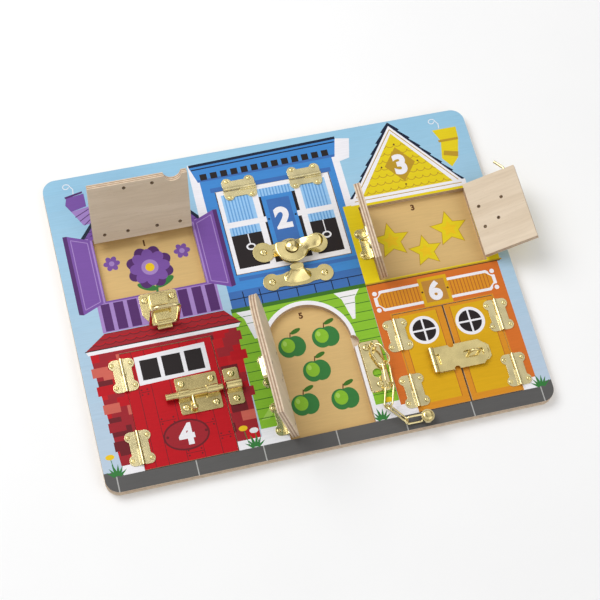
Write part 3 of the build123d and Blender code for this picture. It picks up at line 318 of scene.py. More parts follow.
# Openings in the board, in millimetres: left, bottom, right, top
openings = {
    "door_1": (-163.6, 22.95, -74.8, 83.25),
    "door_2": (-47.5, 23.55, 58.5, 107.55),
    "door_3": (75.7, -7.25, 175.9, 66.75),
    "door_4": (-162.95, -134.25, -82.45, -27.25),
    "door_5": (-38.0, -134.25, 37.0, -15.75),
    "door_6": (76.8, -134.25, 169.8, -41.25),
}
arch_radius = 37.5
arch_x = -0.5
arch_y = -53.25
notch_place = (37.0, -58.05, 5.5)
house_1_middle = -119.2


def round_top(radius):
    """The top of the arched doorway, from its right side to its left."""
    turns = [math.pi * step / circle_steps for step in range(circle_steps + 1)]
    return [(arch_x + radius * math.cos(t), arch_y + radius * math.sin(t)) for t in turns]


def arch(radius, low):
    """An arched doorway's outline with its straight sides down to a level."""
    return [(arch_x - radius, low), (arch_x + radius, low)] + round_top(radius)


def opening_outline(name):
    return arch(arch_radius, openings[name][1]) if name == "door_5" else block(*openings[name])


# The board's print is drawn past its edges and cut to its outline
print_edge = 198
print_low = -150
print_height = 300
ground = -134
joint_width = 1
trim_line = 0.8
seam_line = 0.9
fine_line = 0.7
bar_line = 1.6
crack_line = 0.5


def draw_ground(art):
    bands = 18
    for band in range(bands):
        low = print_low + print_height * band / bands
        sky = blended(inks["sky_low"], inks["sky_high"], band / (bands - 1))
        art.block(sky, -print_edge, low, print_edge, low + print_height / bands)
    art.block("pavement", -print_edge, print_low, print_edge, ground + 0.5)
    art.fill("pavement", [(-print_edge, ground), (-180, ground), (-186, -130), (-print_edge, -129.5)])
    art.fill("pavement", [(182, ground), (print_edge, ground), (print_edge, -129.5), (188, -130)])
    for x in (-187, -120, -62, 1.5, 62, 122, 186):
        art.block("joint", x - joint_width / 2, print_low, x + joint_width / 2, ground)


def draw_house_1(art):
    art.fill("purple", [(-180, 121), (-176, 114), (-162, 117), (-162, 130), (-178, 128)])
    art.fill("deep_purple", [(-179, 127.5), (-163, 130.5), (-163, 132.5), (-179, 129.5)])
    art.fill("lilac", [(-176, 114), (-168, 99), (-150, 99), (-150, 118)])
    for rise in (0, 4.6, 9.2):
        art.line("deep_purple", [(-173.5 + rise * 0.7, 108 - rise), (-158, 115 - rise)], trim_line)
    art.fill("navy", [(-175, 84), (-150, 113.5), (-88, 113.5), (-63.4, 84)])
    roof = [(-171, 84), (-148, 111.5), (-90, 111.5), (-67.4, 84)]
    art.fill("purple", roof)
    art.scallops("deep_purple", roof[::-1], (8, 5), 88, 6)
    art.block("lilac", -172, -6, -66.4, 85)
    art.block("purple", -167, 21.5, -71.4, 86.5)
    left_slats = ((-169, -161.5), (-158, -149.5), (-146, -137.5))
    right_slats = ((-101.5, -93), (-89, -80.5), (-77, -68.5))
    for x0, x1 in left_slats + right_slats:
        art.block("deep_purple", x0, -5, x1, 20.5)


def draw_shutters(art):
    shutter = [(-188.5, 15), (-184.5, 14), (-165, 22), (-165, 83), (-185, 91), (-188.5, 91)]
    shade = [(-188.5, 15), (-184.5, 14), (-184.8, 91), (-188.5, 91)]
    edge = [(-165.8, 22), (-164.2, 22), (-164.2, 83), (-165.8, 83)]
    border = [(-182.2, 18.5), (-168.2, 23.5), (-168.2, 81), (-182.2, 86.5), (-182.2, 18.5)]
    for flip in (False, True):
        for ink, shape in (("purple", shutter), ("deep_purple", shade), ("lilac", edge)):
            art.fill(ink, mirrored(shape, house_1_middle) if flip else shape)
        art.line("lilac", mirrored(border, house_1_middle) if flip else border, trim_line)


def draw_house_2(art):
    art.fill("white", [(-67, 60), (-58, 60), (-58, 137), (-66, 139)])
    art.fill("white", [(64, 60), (71.5, 60), (71.5, 116), (81, 118), (86, 137.5), (72, 140), (64, 121)])
    art.block("blue", -58.5, -7, 65, 122)
    art.fill("blue", [(-60, 120), (68, 121.5), (73, 140), (-65, 136.5)])
    art.fill("mid_blue", [(-60, 120), (68, 121.5), (68.8, 124), (-60.6, 122.5)])
    art.line("navy", [(-65, 137.2), (73, 140.7)], 2.7)
    art.line("navy", [(-63.5, 133.2), (71.5, 136.7)], 1.2)
    dentil = 3.1  # half its width
    for number in range(13):
        x, y = -54 + 9.5 * number, 124.6 + 0.2 * number
        art.block("black", x - dentil, y - dentil, x + dentil, y + dentil)
    art.block("mid_blue", -51, 107.5, 61, 112)
    art.block("mid_blue", -58.5, -7, -46, 9)
    art.block("mid_blue", -46, -7, 65, 21)
    art.block("blue", -58.5, 9, 65, 17.5)
    course = 1.6
    art.line("navy", [(-58.5, course), (65, course)], seam_line)
    for number, x in enumerate((-46, -31, -16, 1.5, 17.5, 33, 48)):
        top = 7.6 if number < 2 else course
        art.line("navy", [(x, -7), (x, top)], seam_line)
    art.block("deep_green", -60, -10.8, 62, -7)


def draw_house_3(art):
    pipe = [(164, 130), (187, 130), (186, 118), (180, 98), (172, 90), (165, 100), (169, 118)]
    art.fill("yellow", pipe[::-1])
    art.fill("gold", [(167, 116.5), (185.5, 116.5), (185.7, 119), (166.5, 119)])
    art.fill("gold", [(167.5, 103), (169, 107.5), (182, 104), (180.5, 99)])
    art.block("yellow", 62, -8.5, 187.5, 70)
    middle = 125
    eave = 75.5
    shingles = 7
    peak = (middle, 146.6)
    art.fill("navy", [(72, eave), (178, eave), peak])
    for step in range(shingles):
        for side in (-1, 1):
            low = blended((middle + side * 53, eave), peak, step / shingles)
            high = blended((middle + side * 53, eave), peak, (step + 1) / shingles)
            art.fill("navy", [low, (low[0] + side * 1.5, low[1] + 0.9), high])
    art.fill("white", [(73, eave), (177, eave), (middle, 142.8)])
    for x in (76.4, 173.6):
        art.line("gold", [(x, 76), (middle, 138.8)], trim_line)
    gable = [(81.5, 75), (169, 75), (middle, 134.5)]
    art.fill("yellow", gable)
    art.scallops("gold", gable, (7.2, 7.2), 80, 7)
    art.block("white", 70, 69.2, 180, 75.8)
    art.block("gold", 74, 72.2, 176, 73)
    art.fill("gold", [(middle, 84), (139.5, 102), (middle, 120), (110.5, 102)])
    art.digit("white", "3", middle, 102, 21)
    for x, y in ((middle, 123), (middle, 81), (107.5, 102), (142, 102.5)):
        art.dot("brown", x, y, 0.9)
    art.block("gold", 62, -9.6, 189, -8.2)


brick_size = (14.2, 8.6)
brick_seed = 5
wall_colours = ("salmon", "bright_red", "brick", "maroon", "brick", "red", "brick", "red", "bright_red")


def draw_house_4(art):
    roof = [(-190, -20), (-54, -20), (-66, -6.5), (-171, -6.5)]
    art.fill("brick", roof)
    art.scallops("maroon", roof, (9, 5), -15, 3)
    art.scallops("red", roof, (9, 5), -13.6, 3)
    wall = [(-181, -126), (-62, -126), (-59, -24), (-187, -24)]
    art.fill("brick", wall)
    art.bricks(wall_colours, wall, brick_size, brick_seed)
    ends = [(-188.6, -45, "salmon"), (-187.4, -62, "red"), (-185.6, -79, "salmon"), (-184.6, -96, "brick")]
    ends += [(-183.4, -113, "maroon"), (-70.6, -36, "brick"), (-70, -54, "red"), (-71.6, -88, "brick")]
    for x, y, ink in ends:
        art.block(ink, x, y, x + brick_size[0], y + brick_size[1])
    art.fill("white", [(-188.5, -24), (-57, -24), (-54, -20), (-190, -20)])
    art.line("black", [(-190.5, -20.2), (-53.5, -20.2)], seam_line)
    art.block("brick", -166, -27.2, -80, -24.3)
    art.block("white", -181, ground, -162, -126)
    art.block("white", -83, ground, -61, -126)


def draw_house_5(art):
    wall = block(-60, -120, 61.8, -10.8)
    art.fill("green", wall)
    for x in (-58, -42):
        gleam = [(x, -112), (x + 7, -112), (x + 34, -84), (x + 27, -84)]
        art.fill("light_green", gleam, wall)
    art.rows("deep_green", wall, -110.5, -12, 8.6, fine_line)
    corbel = [(32, -11), (55, -11), (49.5, -18), (47, -29), (44.8, -38), (42.2, -38), (40, -29), (37.5, -18)]
    for shape in (corbel, mirrored(corbel, arch_x)):
        art.fill("white", shape)
        middle = (shape[0][0] + shape[1][0]) / 2
        art.block("deep_green", middle - 7, -16.2, middle + 7, -15.6)
        art.block("deep_green", middle - 4.6, -23.2, middle + 4.6, -22.6)
    art.block("white", -61, ground, 62, -119.5)
    art.fill("white", arch(arch_radius + 3.8, ground))


def draw_house_6(art):
    art.block("orange", 62, -124, 184.5, -9.6)
    art.fill("brown", [(62, -10.4), (187, -10.4), (187.5, -9.4), (62, -9.4)])
    art.block("white", 61.8, ground, 184.5, -124)
    art.block("apricot", 75.6, ground, 171, -40.4)
    rim = [(65.5, -31), (72, -37), (171, -37), (178, -31)]
    art.fill("white", rim + [(178, -23), (171, -17), (72, -17), (65.5, -23)])
    slats = [(68.5, -30), (73, -34.4), (170, -34.4), (175, -30)]
    slats += [(175, -24), (170, -19.6), (73, -19.6), (68.5, -24)]
    art.fill("apricot", slats)
    art.columns("rust", slats, 3.1, fine_line)
    for x in (67.3, 176.6):
        for y in (-19, -35):
            art.oval("orange", x, y, 3.6)
            art.oval("white", x, y, 2.1)
    art.block("amber", 108, -40.5, 134.5, -13)
    art.block("bronze", 111, -37, 131.5, -16.2)
    art.digit("white", "6", 121.2, -26.6, 19)
    for x in (109.5, 133):
        art.dot("brown", x, -26.3, 1)


def draw_garden(art):
    blade = [(-1.44, 0), (1.44, 0), (0.8, 5.5), (0, 9)]
    for x in (-186, -68, 43, 187):
        for lean, size in ((55, 0.9), (32, 1.0), (12, 1.3), (-10, 1.15), (-30, 1.05), (-54, 0.9)):
            scaled = [(px * size, py * size) for px, py in blade]
            art.fill("leaf", turned(scaled, x - lean * 0.04, -133.6, lean))
    flowers = ((-189, -116.5, "sun"), (-75, -115.5, "sun"), (-66.5, -119, "white"), (52.5, -117, "sun"))
    for x, y, ink in flowers:
        art.line("leaf", [(x, y), (x + 2, -131)], 0.6)
        art.oval(ink, x, y, 3.8, 2.4)


def draw_smoke(art):
    y = 131
    for x in (-171, 171):
        plume = [(x, y), (x + 0.6, y + 5)]
        for step in range(26):
            turn = step / 4
            shrink = step * 0.05
            curl = ((3.4 - shrink) * math.cos(turn), (3 - shrink) * math.sin(turn))
            plume.append((x - 5 + curl[0], y + 8 + curl[1]))
        art.line("white", plume, fine_line)


def draw_board():
    art = Artwork()
    upper = (draw_ground, draw_house_1, draw_house_2, draw_shutters, draw_house_3)
    lower = (draw_house_5, draw_house_4, draw_house_6, draw_garden, draw_smoke)
    for draw in upper + lower:
        draw(art)
    for name in openings:
        art.cut(opening_outline(name))
    art.cut(oval(*notch_place))
    return art


def board_outline():
    """The rounded outline of the whole board."""
    radius = 12
    steps = 12
    x = board_high.x / mm - radius
    y = board_high.y / mm - radius
    outline = []
    for cx, cy, start in ((x, y, 0), (-x, y, 90), (-x, -y, 180), (x, -y, 270)):
        for step in range(steps + 1):
            turn = math.radians(start + 90 * step / steps)
            outline.append((cx + radius * math.cos(turn), cy + radius * math.sin(turn)))
    return outline


# Door fronts, drawn as if closed


edge_margin = 0.05
pin_rise = 1.6


def swing_gap(depth):
    """How far short a panel stops, to clear its opening as it swings."""
    return math.hypot(depth, sheet_thickness / mm + pin_rise) - depth + edge_margin


def door_outline(name, gap=0.8, hinge_gap=0.3):
    """A door panel's printed outline."""
    left, low, right, high = openings[name[:6]]
    if name in ("door_1", "door_2"):
        low += swing_gap(high - low) + hinge_gap
        return block(left + gap, low, right - gap, high - hinge_gap)
    low += gap
    high -= gap
    middle = (left + right) / 2
    reach = swing_gap(middle - left) + hinge_gap / 2
    if name.endswith("_left"):
        return block(left + hinge_gap, low, middle - reach, high)
    if name.endswith("_right"):
        return block(middle + reach, low, right - hinge_gap, high)
    reach = swing_gap(right - left) + hinge_gap
    left += hinge_gap
    if name == "door_5":
        return [(left, low), (right - reach, low)] + round_top(arch_radius - reach) + [(left, arch_y)]
    return block(left, low, right - reach, high)


def draw_door_1(art, name):
    outline = door_outline(name)
    art.fill("lilac", outline)
    art.block("purple", -160, 30, -78.4, 80)
    for x0, x1 in ((-157, -135.5), (-103, -81.4)):
        art.block("deep_purple", x0, 33, x1, 77)
        art.block("pale_blue", x0 + 2, 35, x1 - 2, 75)
        art.cross("lilac", (x0 + x1) / 2, 55, (x1 - x0) / 2 - 2, 20, bar_line)
    art.block("deep_purple", -132, 38, -106.4, 76)
    art.digit("white", "1", house_1_middle, 57, 24)
    art.cut(oval(-88.3, 22.2, 8))


def draw_door_2(art, name):
    art.fill("white", door_outline(name))
    for x0, x1 in ((-43, -15.5), (-10, 23.5), (29, 53)):
        art.block("black", x0, 29, x1, 103)
        curtain = block(x0, 61.5 if x0 != -10 else 95, x1, 103)
        art.fill("pale_blue", curtain)
        art.columns("curtain", curtain, 2.9, 1.2)
        art.block("white", x0, 69.5, x1, 75)
    for x, y in ((-28, 48.5), (41, 46.5)):
        art.line("white", [(x, 61.5), (x, y)], seam_line)
        art.oval("white", x, y, 4.3, 3.4)
        art.oval("black", x, y, 2.8, 2)
    art.block("blue", -8, 40, 20.5, 95)
    art.block("mid_blue", -4, 44, 16.8, 91)
    art.digit("white", "2", 6.6, 71, 22)
    for x in (-6, 18.7):
        art.dot("navy", x, 71.8, 1)


def draw_door_3(art, name):
    outline = door_outline(name)
    art.fill("yellow", outline)
    left = outline[0][0]
    right = outline[1][0]
    art.block("gold", left + 5, 1, right - 5, 60)
    art.block("yellow", left + 6.5, 2.5, right - 6.5, 58.5)
    art.block("white", left + 11, 28, right - 11, 54)
    art.block("black", left + 13, 30, right - 13, 52)
    art.cross("white", (left + right) / 2, 41, (right - left) / 2 - 13, 11, bar_line)
    art.rows("gold", block(left + 9, 5, right - 9, 24), 7, 24, 5, trim_line)


def draw_door_4(art, name):
    outline = door_outline(name)
    art.fill("red", outline)
    for x in (-153, -142, -126, -111, -96):
        art.line("maroon", [(x, ground), (x, -27)], crack_line, outline)
    ends = ((-153, -66, 9), (-142, -95, 14), (-111, -104, 15), (-126, -127, 15), (-96, -118, 11))
    for x, y, length in ends:
        art.line("maroon", [(x, y), (x + length, y)], crack_line)
        for dx in (2, length - 2):
            for dy in (-2.2, 2.2):
                art.oval("maroon", x + dx, y + dy, 0.8, steps=nail_steps)
    art.fill("white", [(-151.5, -59.6), (-89.5, -58), (-89.5, -31.6), (-151.5, -33.4)])
    for x0, x1 in ((-147.5, -132), (-128.5, -112), (-108.5, -93.5)):
        lift = (x0 + 151.5) * 0.03
        art.block("black", x0, -55.6 + lift * 0.3, x1, -37.2 + lift * 0.7)
    art.oval("maroon", -122.5, -110.5, 19.8, 13.8)
    art.oval("brick", -122.5, -110.5, 18.2, 12.2)
    for x in (-138.5, -105.5):
        art.dot("maroon", x, -110, 1.3)
    art.digit("white", "4", -122.5, -110, 19.5)


def draw_door_5(art, name):
    outline = door_outline(name)
    art.fill("leaf", outline)
    for x in (-25, -12, 1, 14, 26):
        art.line("deep_green", [(x, -133), (x, -15.5)], fine_line, outline)
    art.oval("white", -1, -54, 17)
    art.oval("deep_green", -1, -54, 15)
    art.digit("white", "5", -1, -54, 19)


def draw_door_6(art, name):
    outline = door_outline(name)
    left = outline[0][0]
    right = outline[1][0]
    art.fill("apricot", outline)
    if name == "door_6_left":
        panel = block(left + 5.5, -127.4, right - 6.2, -44.5)
        window = 101.2
    else:
        panel = block(left + 5.4, -127.6, right - 5.5, -44.5)
        window = 143.6
    art.fill("rust", [(x + dx, y) for (x, y), dx in zip(panel, (-0.6, 0.6, 0.6, -0.6))])
    art.fill("amber", panel)
    y = -61.3
    art.oval("white", window, y, 13.2)
    art.oval("black", window, y, 10.4)
    art.cross("white", window, y, 10.6, 10.7, bar_line + 0.1)


# Inner pictures


def petal_ring(art, ink, x, y, reach, across, tall, count, start=0):
    for number in range(count):
        turn = start + 360 * number / count
        art.fill(ink, turned(oval(reach, 0, across, tall, leaf_steps), x, y, turn))


def star_points(x, y, radius, points=5, waist=0.47):
    outline = []
    for step in range(2 * points):
        turn = math.radians(90 + 180 * step / points)
        reach = radius if step % 2 == 0 else radius * waist
        outline.append((x + reach * math.cos(turn), y + reach * math.sin(turn)))
    return outline


label_height = 6
label_places = ((house_1_middle, 74), (5.5, 97), (125.8, 59.5), (-122.7, -36), (arch_x, -23), (123.3, -48))


def draw_pockets():
    art = Artwork()
    for name in openings:
        art.fill("inner", opening_outline(name))
    for number, (x, y) in enumerate(label_places, 1):
        art.digit("brown", str(number), x, y, label_height)
    art.line("leaf", [(-119, 44), (-116, 34), (-118, 23.2)], 2)
    for y, lean in ((30, 25), (28, 155)):
        art.fill("leaf", turned(oval(9, 0, 9, 3.4, leaf_steps), -117, y, lean))
    petal_ring(art, "deep_purple", -119, 50, 12.5, 8.4, 6.4, 8, 22.5)
    petal_ring(art, "purple", -119, 50, 10.5, 7.4, 5.4, 8)
    art.oval("lilac", -119, 50, 7.5)
    art.oval("sun", -119, 50, 4)
    for x in (-151, -88):
        petal_ring(art, "purple", x, 60, 4.4, 3, 2.4, 6)
        art.oval("lilac", x, 60, 2.4, steps=leaf_steps)
    for x in (-19, 30):
        art.fill("blue", [(x - 16, 46), (x + 16, 46), (x + 10, 36), (x - 10, 36)][::-1])
        art.fill("pale_blue", [(x + 1, 48), (x + 14, 48), (x + 1, 82)])
        art.fill("mid_blue", [(x - 1, 48), (x - 1, 76), (x - 12, 48)])
    for x, y, radius in ((98, 31, 17), (126, 15, 15), (153, 32, 17)):
        art.fill("gold", star_points(x, y, radius + 1.6))
        art.fill("yellow", star_points(x, y, radius))
        art.fill("sun", star_points(x, y, radius * 0.5))
    for x, y in ((-145, -60), (-103, -58), (-140, -104), (-100, -100)):
        art.line("brown", [(x, y - 12), (x + 2, y - 26)], fine_line)
        art.oval("red", x, y, 11, 13)
        art.oval("salmon", x - 4, y + 4, 2.6, 3.6, leaf_steps)
    for x, y in ((-15, -50), (16, -47), (0.5, -76), (-17, -104), (18, -106)):
        art.line("brown", [(x, y + 8), (x + 1.5, y + 13.5)], 1)
        art.fill("deep_green", turned(oval(5, 0, 5, 2, leaf_steps), x + 1.5, y + 12, 20))
        art.oval("leaf", x - 3.6, y, 8.6, 9.6, apple_steps)
        art.oval("leaf", x + 3.6, y, 8.6, 9.6, apple_steps)
        art.oval("green", x - 3.2, y + 1.6, 6, 6.6, apple_steps)
        art.oval("light_green", x - 5.6, y + 4, 1.8, 2.4, shine_steps)
    for x in (98, 123, 148):
        for y in (-72, -106):
            art.fill("deep_green", turned(oval(4, 0, 4.4, 1.8, leaf_steps), x, y + 10, 30))
            art.oval("orange", x, y, 9.6)
            art.oval("amber", x - 3, y + 3, 2.8, 2.4, leaf_steps)
    return art


# Materials


even = (1, 1, 1)
untinted = (1.0, 1.0, 1.0)


def wire(tree, node, inputs):
    """Give each input of a node its value, or link it to the output given for it."""
    for name, value in inputs.items():
        if hasattr(value, "is_linked"):
            tree.links.new(value, node.inputs[name])
        else:
            node.inputs[name].default_value = value


def add_node(tree, kind, inputs=(), **settings):
    node = tree.nodes.new(kind)
    for name, value in settings.items():
        setattr(node, name, value)
    wire(tree, node, dict(inputs))
    return node


def new_surface(name, roughness, metallic=0.0):
    """A material, its nodes, its shader, and the place of each point of a piece."""
    material = bpy.data.materials.new(name)
    material.use_nodes = True
    tree = material.node_tree
    shader = tree.nodes["Principled BSDF"]
    wire(tree, shader, {"Roughness": roughness, "Metallic": metallic})
    return material, tree, shader, add_node(tree, "ShaderNodeTexCoord").outputs["Object"]


def noise(tree, place, cells, scale=1.0, detail=3.0, distortion=0.0):
    """Noise with so many cells per metre along x, y and z."""
    mapping = add_node(tree, "ShaderNodeMapping", {"Vector": place, "Scale": cells})
    inputs = {"Vector": mapping.outputs["Vector"], "Scale": scale, "Detail": detail}
    inputs["Distortion"] = distortion
    return add_node(tree, "ShaderNodeTexNoise", inputs).outputs["Fac"]


def ramp(tree, value, stops, interpolation="LINEAR"):
    node = add_node(tree, "ShaderNodeValToRGB", {"Fac": value})
    node.color_ramp.interpolation = interpolation
    while len(node.color_ramp.elements) < len(stops):
        node.color_ramp.elements.new(0.5)
    for element, (place, colour) in zip(node.color_ramp.elements, stops):
        element.position = place
        element.color = (*colour, 1)
    return node.outputs["Color"]


def shaded(tree, value, first, second, low=0.3, high=0.7):
    """A colour that runs from the first to the second as a value goes from low to high."""
    return ramp(tree, value, ((low, first), (high, second)))


def mixed(tree, factor, first, second, blend="MIX"):
    """Two colours mixed. The node's colour sockets share their names with others, so they go by number."""
    factor_socket, first_socket, second_socket, result_socket = 0, 6, 7, 2
    inputs = {factor_socket: factor, first_socket: first, second_socket: second}
    node = add_node(tree, "ShaderNodeMix", data_type="RGBA", blend_type=blend)
    wire(tree, node, inputs)
    return node.outputs[result_socket]


def multiplied(tree, *colours):
    product = colours[0]
    for colour in colours[1:]:
        product = mixed(tree, 1.0, product, colour, "MULTIPLY")
    return product


def mapped(tree, value, **limits):
    """A value brought to a new range. The limits are from_min, from_max, to_min and to_max."""
    inputs = {name.replace("_", " ").title(): limit for name, limit in limits.items()}
    return add_node(tree, "ShaderNodeMapRange", {"Value": value, **inputs}).outputs["Result"]


def bumped(tree, height, strength, distance, **base):
    """The normal of a bumpy surface, over the base normal where one is given."""
    inputs = {"Height": height, "Strength": strength, "Distance": distance, **base}
    return add_node(tree, "ShaderNodeBump", inputs).outputs["Normal"]


def make_ink():
    """Printed and varnished wood: the ink's own colour, with grain just showing through."""
    material, tree, shader, place = new_surface("printed_wood", roughness=0.42)
    ink = add_node(tree, "ShaderNodeAttribute", attribute_name="ink").outputs["Color"]
    grain = noise(tree, place, (60, 900, 900), detail=4.0, distortion=0.4)
    cloud = noise(tree, place, even, scale=28.0)
    shade = shaded(tree, grain, (0.93, 0.93, 0.93), untinted)
    wash = shaded(tree, cloud, (0.96, 0.96, 0.97), untinted)
    finish = {
        "Base Color": multiplied(tree, ink, shade, wash),
        "Specular IOR Level": 0.15,
        "Roughness": mapped(tree, grain, to_min=0.36, to_max=0.5),
        "Normal": bumped(tree, grain, strength=0.25, distance=0.05 * mm),
    }
    wire(tree, shader, finish)
    return material


def along_axis(tree, vector, axis):
    """How far a vector reaches along a fixed direction."""
    inputs = {0: vector, 1: axis}
    return add_node(tree, "ShaderNodeVectorMath", inputs, operation="DOT_PRODUCT").outputs["Value"]


ply_colours = ((222, 203, 178), (172, 142, 118))
face_colours = ((214, 195, 170), (228, 211, 188))
fibre_cells = (40, 520, 520)
figure_cells = (7, 60, 60)
fleck_cells = (240, 1500, 1500)
edge_cells = (300, 300, 300)
face_lean = 0.7


def make_plywood(name, matrix, plies, thickness):
    """Bare plywood, grained on its faces and layered on its edges. The matrix is where the panel stands."""
    material, tree, shader, place = new_surface(name, roughness=0.6)
    turn = matrix.to_3x3()
    axes = [(turn @ Vector(axis)).normalized() for axis in ((1, 0, 0), (0, 1, 0), (0, 0, 1))]
    top = (matrix @ Vector((0, 0, board_top))).dot(axes[2])
    reaches = {socket: along_axis(tree, place, axis) for socket, axis in zip("XYZ", axes)}
    local = add_node(tree, "ShaderNodeCombineXYZ", reaches).outputs["Vector"]
    facing = along_axis(tree, add_node(tree, "ShaderNodeTexCoord").outputs["Normal"], axes[2])
    flat = add_node(tree, "ShaderNodeMath", {0: facing}, operation="ABSOLUTE").outputs["Value"]
    is_face = add_node(tree, "ShaderNodeMath", {0: flat, 1: face_lean}, operation="GREATER_THAN")
    layer = mapped(tree, reaches["Z"], from_min=top - thickness, from_max=top)
    stops = [(ply / plies, linear(ply_colours[ply % 2])) for ply in range(plies)]
    bands = ramp(tree, layer, stops, "CONSTANT")
    fibre = noise(tree, local, fibre_cells, detail=5.0, distortion=0.5)
    figure = noise(tree, local, figure_cells, distortion=0.8)
    flecks = noise(tree, local, fleck_cells, detail=2.0)
    plain = shaded(tree, figure, *[linear(colour) for colour in face_colours], high=0.72)
    streak = shaded(tree, fibre, (0.93, 0.92, 0.9), untinted, high=0.62)
    speck = shaded(tree, flecks, untinted, (0.9, 0.85, 0.79), low=0.66, high=0.74)
    face = multiplied(tree, plain, streak, speck)
    edge_noise = noise(tree, local, edge_cells)
    edge_tone = shaded(tree, edge_noise, (0.85, 0.83, 0.81), (1.05, 1.04, 1.02), low=0.35, high=0.65)
    edge = multiplied(tree, bands, edge_tone)
    finish = {
        "Base Color": mixed(tree, is_face.outputs["Value"], edge, face),
        "Specular IOR Level": 0.3,
        "Normal": bumped(tree, fibre, strength=0.3, distance=0.06 * mm),
    }
    wire(tree, shader, finish)
    return material


mottle_scale = 900.0
tarnish_scale = 80.0
tarnish = 0.82
shine = 1.1


def make_brass(name, colour, roughness, spread, edge_radius=0.28):
    """Brass plate: a slightly mottled polish, brighter along its edges."""
    material, tree, shader, place = new_surface(name, roughness, metallic=1.0)
    mottle = noise(tree, place, even, scale=mottle_scale, detail=4.0)
    cloud = noise(tree, place, even, scale=tarnish_scale)
    dull = [value * tarnish for value in linear(colour)]
    bright = [min(1, value * shine) for value in linear(colour)]
    tone = shaded(tree, cloud, dull, bright)
    fine = shaded(tree, mottle, (0.94, 0.95, 0.92), untinted)
    soft_edge = add_node(tree, "ShaderNodeBevel", {"Radius": edge_radius * mm}, samples=6)
    soft = soft_edge.outputs["Normal"]
    finish = {
        "Base Color": multiplied(tree, tone, fine),
        "Roughness": mapped(tree, mottle, to_min=roughness - spread, to_max=roughness + spread),
        "Normal": bumped(tree, mottle, strength=0.025, distance=0.03 * mm, Normal=soft),
    }
    wire(tree, shader, finish)
    return material


def make_floor_surface():
    material, tree, shader, place = new_surface("studio_floor", roughness=0.9)
    grain = noise(tree, place, even, scale=6.0)
    wire(tree, shader, {"Base Color": shaded(tree, grain, (0.93, 0.93, 0.93), (0.95, 0.95, 0.95))})
    return material


def make_mark_surface():
    """Splintered wood round a screw's point, darkened with painted shade of the hole the screw comes through."""
    material, tree, shader, place = new_surface("screw_splinter_and_shade", roughness=0.8)
    grain = noise(tree, place, even, scale=900.0)
    # Painted shade: the dark end of this tone stands for the shade inside the screw's hole, mixed with splintered
    # wood.
    tone = shaded(tree, grain, linear((62, 48, 36)), linear((138, 112, 84)), low=0.35)
    wire(tree, shader, {"Base Color": tone})
    return material


def paint(piece, material):
    piece.data.materials.clear()
    piece.data.materials.append(material)


# Pieces


def rest_swing(body):
    """How a door stands at rest, against its closed place. The board stays where it is."""
    if body not in joint_of:
        return Matrix.Identity(4)
    joint = joint_of[body]
    pin = Vector(joint["pos_m"])
    turn = Matrix.Rotation(math.radians(-joint["range_deg"][0]), 4, Vector(joint["axis"]))
    return Matrix.Translation(pin) @ turn @ Matrix.Translation(-pin)


def facing_of(body):
    """The way the front of a body faces at rest, and two directions across it."""
    normal = (rest_swing(body).to_3x3() @ Vector((0, 0, 1))).normalized()
    across = normal.orthogonal().normalized()
    return normal, across, normal.cross(across)


def link_mesh(name, points, faces):
    mesh = bpy.data.meshes.new(name)
    mesh.from_pydata(points, [], faces)
    piece = bpy.data.objects.new(name, mesh)
    bpy.context.scene.collection.objects.link(piece)
    return piece


def lay_print(name, art, level, body, material):
    """An artwork as a thin skin on the board or on a door, turned with the door to its rest."""
    corners, triangles, colours = art.drawn()
    piece = link_mesh(name, [(c.x * mm, c.y * mm, level + ink_lift) for c in corners], triangles)
    shades = piece.data.color_attributes.new("ink", "FLOAT_COLOR", "CORNER")
    for polygon, colour in zip(piece.data.polygons, colours):
        for corner in polygon.loop_indices:
            shades.data[corner].color = (*colour, 1)
    piece.data.transform(rest_swing(body))
    paint(piece, material)
    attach(piece, body)


def circle(centre, across, other, radius, steps, lean=0):
    """Points on a circle in the plane of two directions."""
    return [centre + (across * c + other * s) * radius for c, s in around(steps, lean)]


class Shell:
    """A piece's skin, built up from rings of points."""

    def __init__(self):
        self.points = []
        self.faces = []

    def wrap(self, rings, low_cap=False, high_cap=False, looped=False):
        """A skin over rings of equal length, joined end to end where looped."""
        first = len(self.points)
        count = len(rings[0])
        for ring in rings:
            self.points += ring
        for number in range(len(rings) if looped else len(rings) - 1):
            low = first + number * count
            high = first + (number + 1) % len(rings) * count
            for step in range(count):
                after = (step + 1) % count
                self.faces.append((low + step, low + after, high + after, high + step))
        if low_cap:
            self.faces.append(list(range(first, first + count))[::-1])
        if high_cap:
            self.faces.append(list(range(len(self.points) - count, len(self.points))))

    def point_up(self, tip, count):
        """Close the last ring with triangles that meet at a tip."""
        last = len(self.points) - count
        self.points.append(tip)
        for step in range(count):
            self.faces.append((last + count, last + step, last + (step + 1) % count))

    def place(self, name, body, material):
        """The piece itself, smooth apart from its flat caps."""
        piece = link_mesh(name, self.points, self.faces)
        most_corners = 4
        for polygon in piece.data.polygons:
            polygon.use_smooth = len(polygon.vertices) <= most_corners
        paint(piece, material)
        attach(piece, body)
        return piece


def islands(node):
    """The vertices of each separate solid of a node."""
    mesh = nodes[node].data
    keys = [tuple(round(value, 6) for value in vertex.co) for vertex in mesh.vertices]
    root = {key: key for key in keys}

    def top(key):
        while root[key] != key:
            root[key] = root[root[key]]
            key = root[key]
        return key

    for polygon in mesh.polygons:
        first = top(keys[polygon.vertices[0]])
        for vertex in polygon.vertices[1:]:
            root[top(keys[vertex])] = first
    groups = {}
    for key in root:
        groups.setdefault(top(key), []).append(Vector(key))
    return [groups[key] for key in sorted(groups)]


crown_depth = 0.02 * mm


def crown_of(solid, normal):
    """The middle, radius and level of a plain screw's flat top."""
    level = max(point.dot(normal) for point in solid)
    top = [point for point in solid if level - point.dot(normal) < crown_depth]
    centre = sum(top, Vector()) / len(top)
    return centre, max((point - centre).length for point in top), level


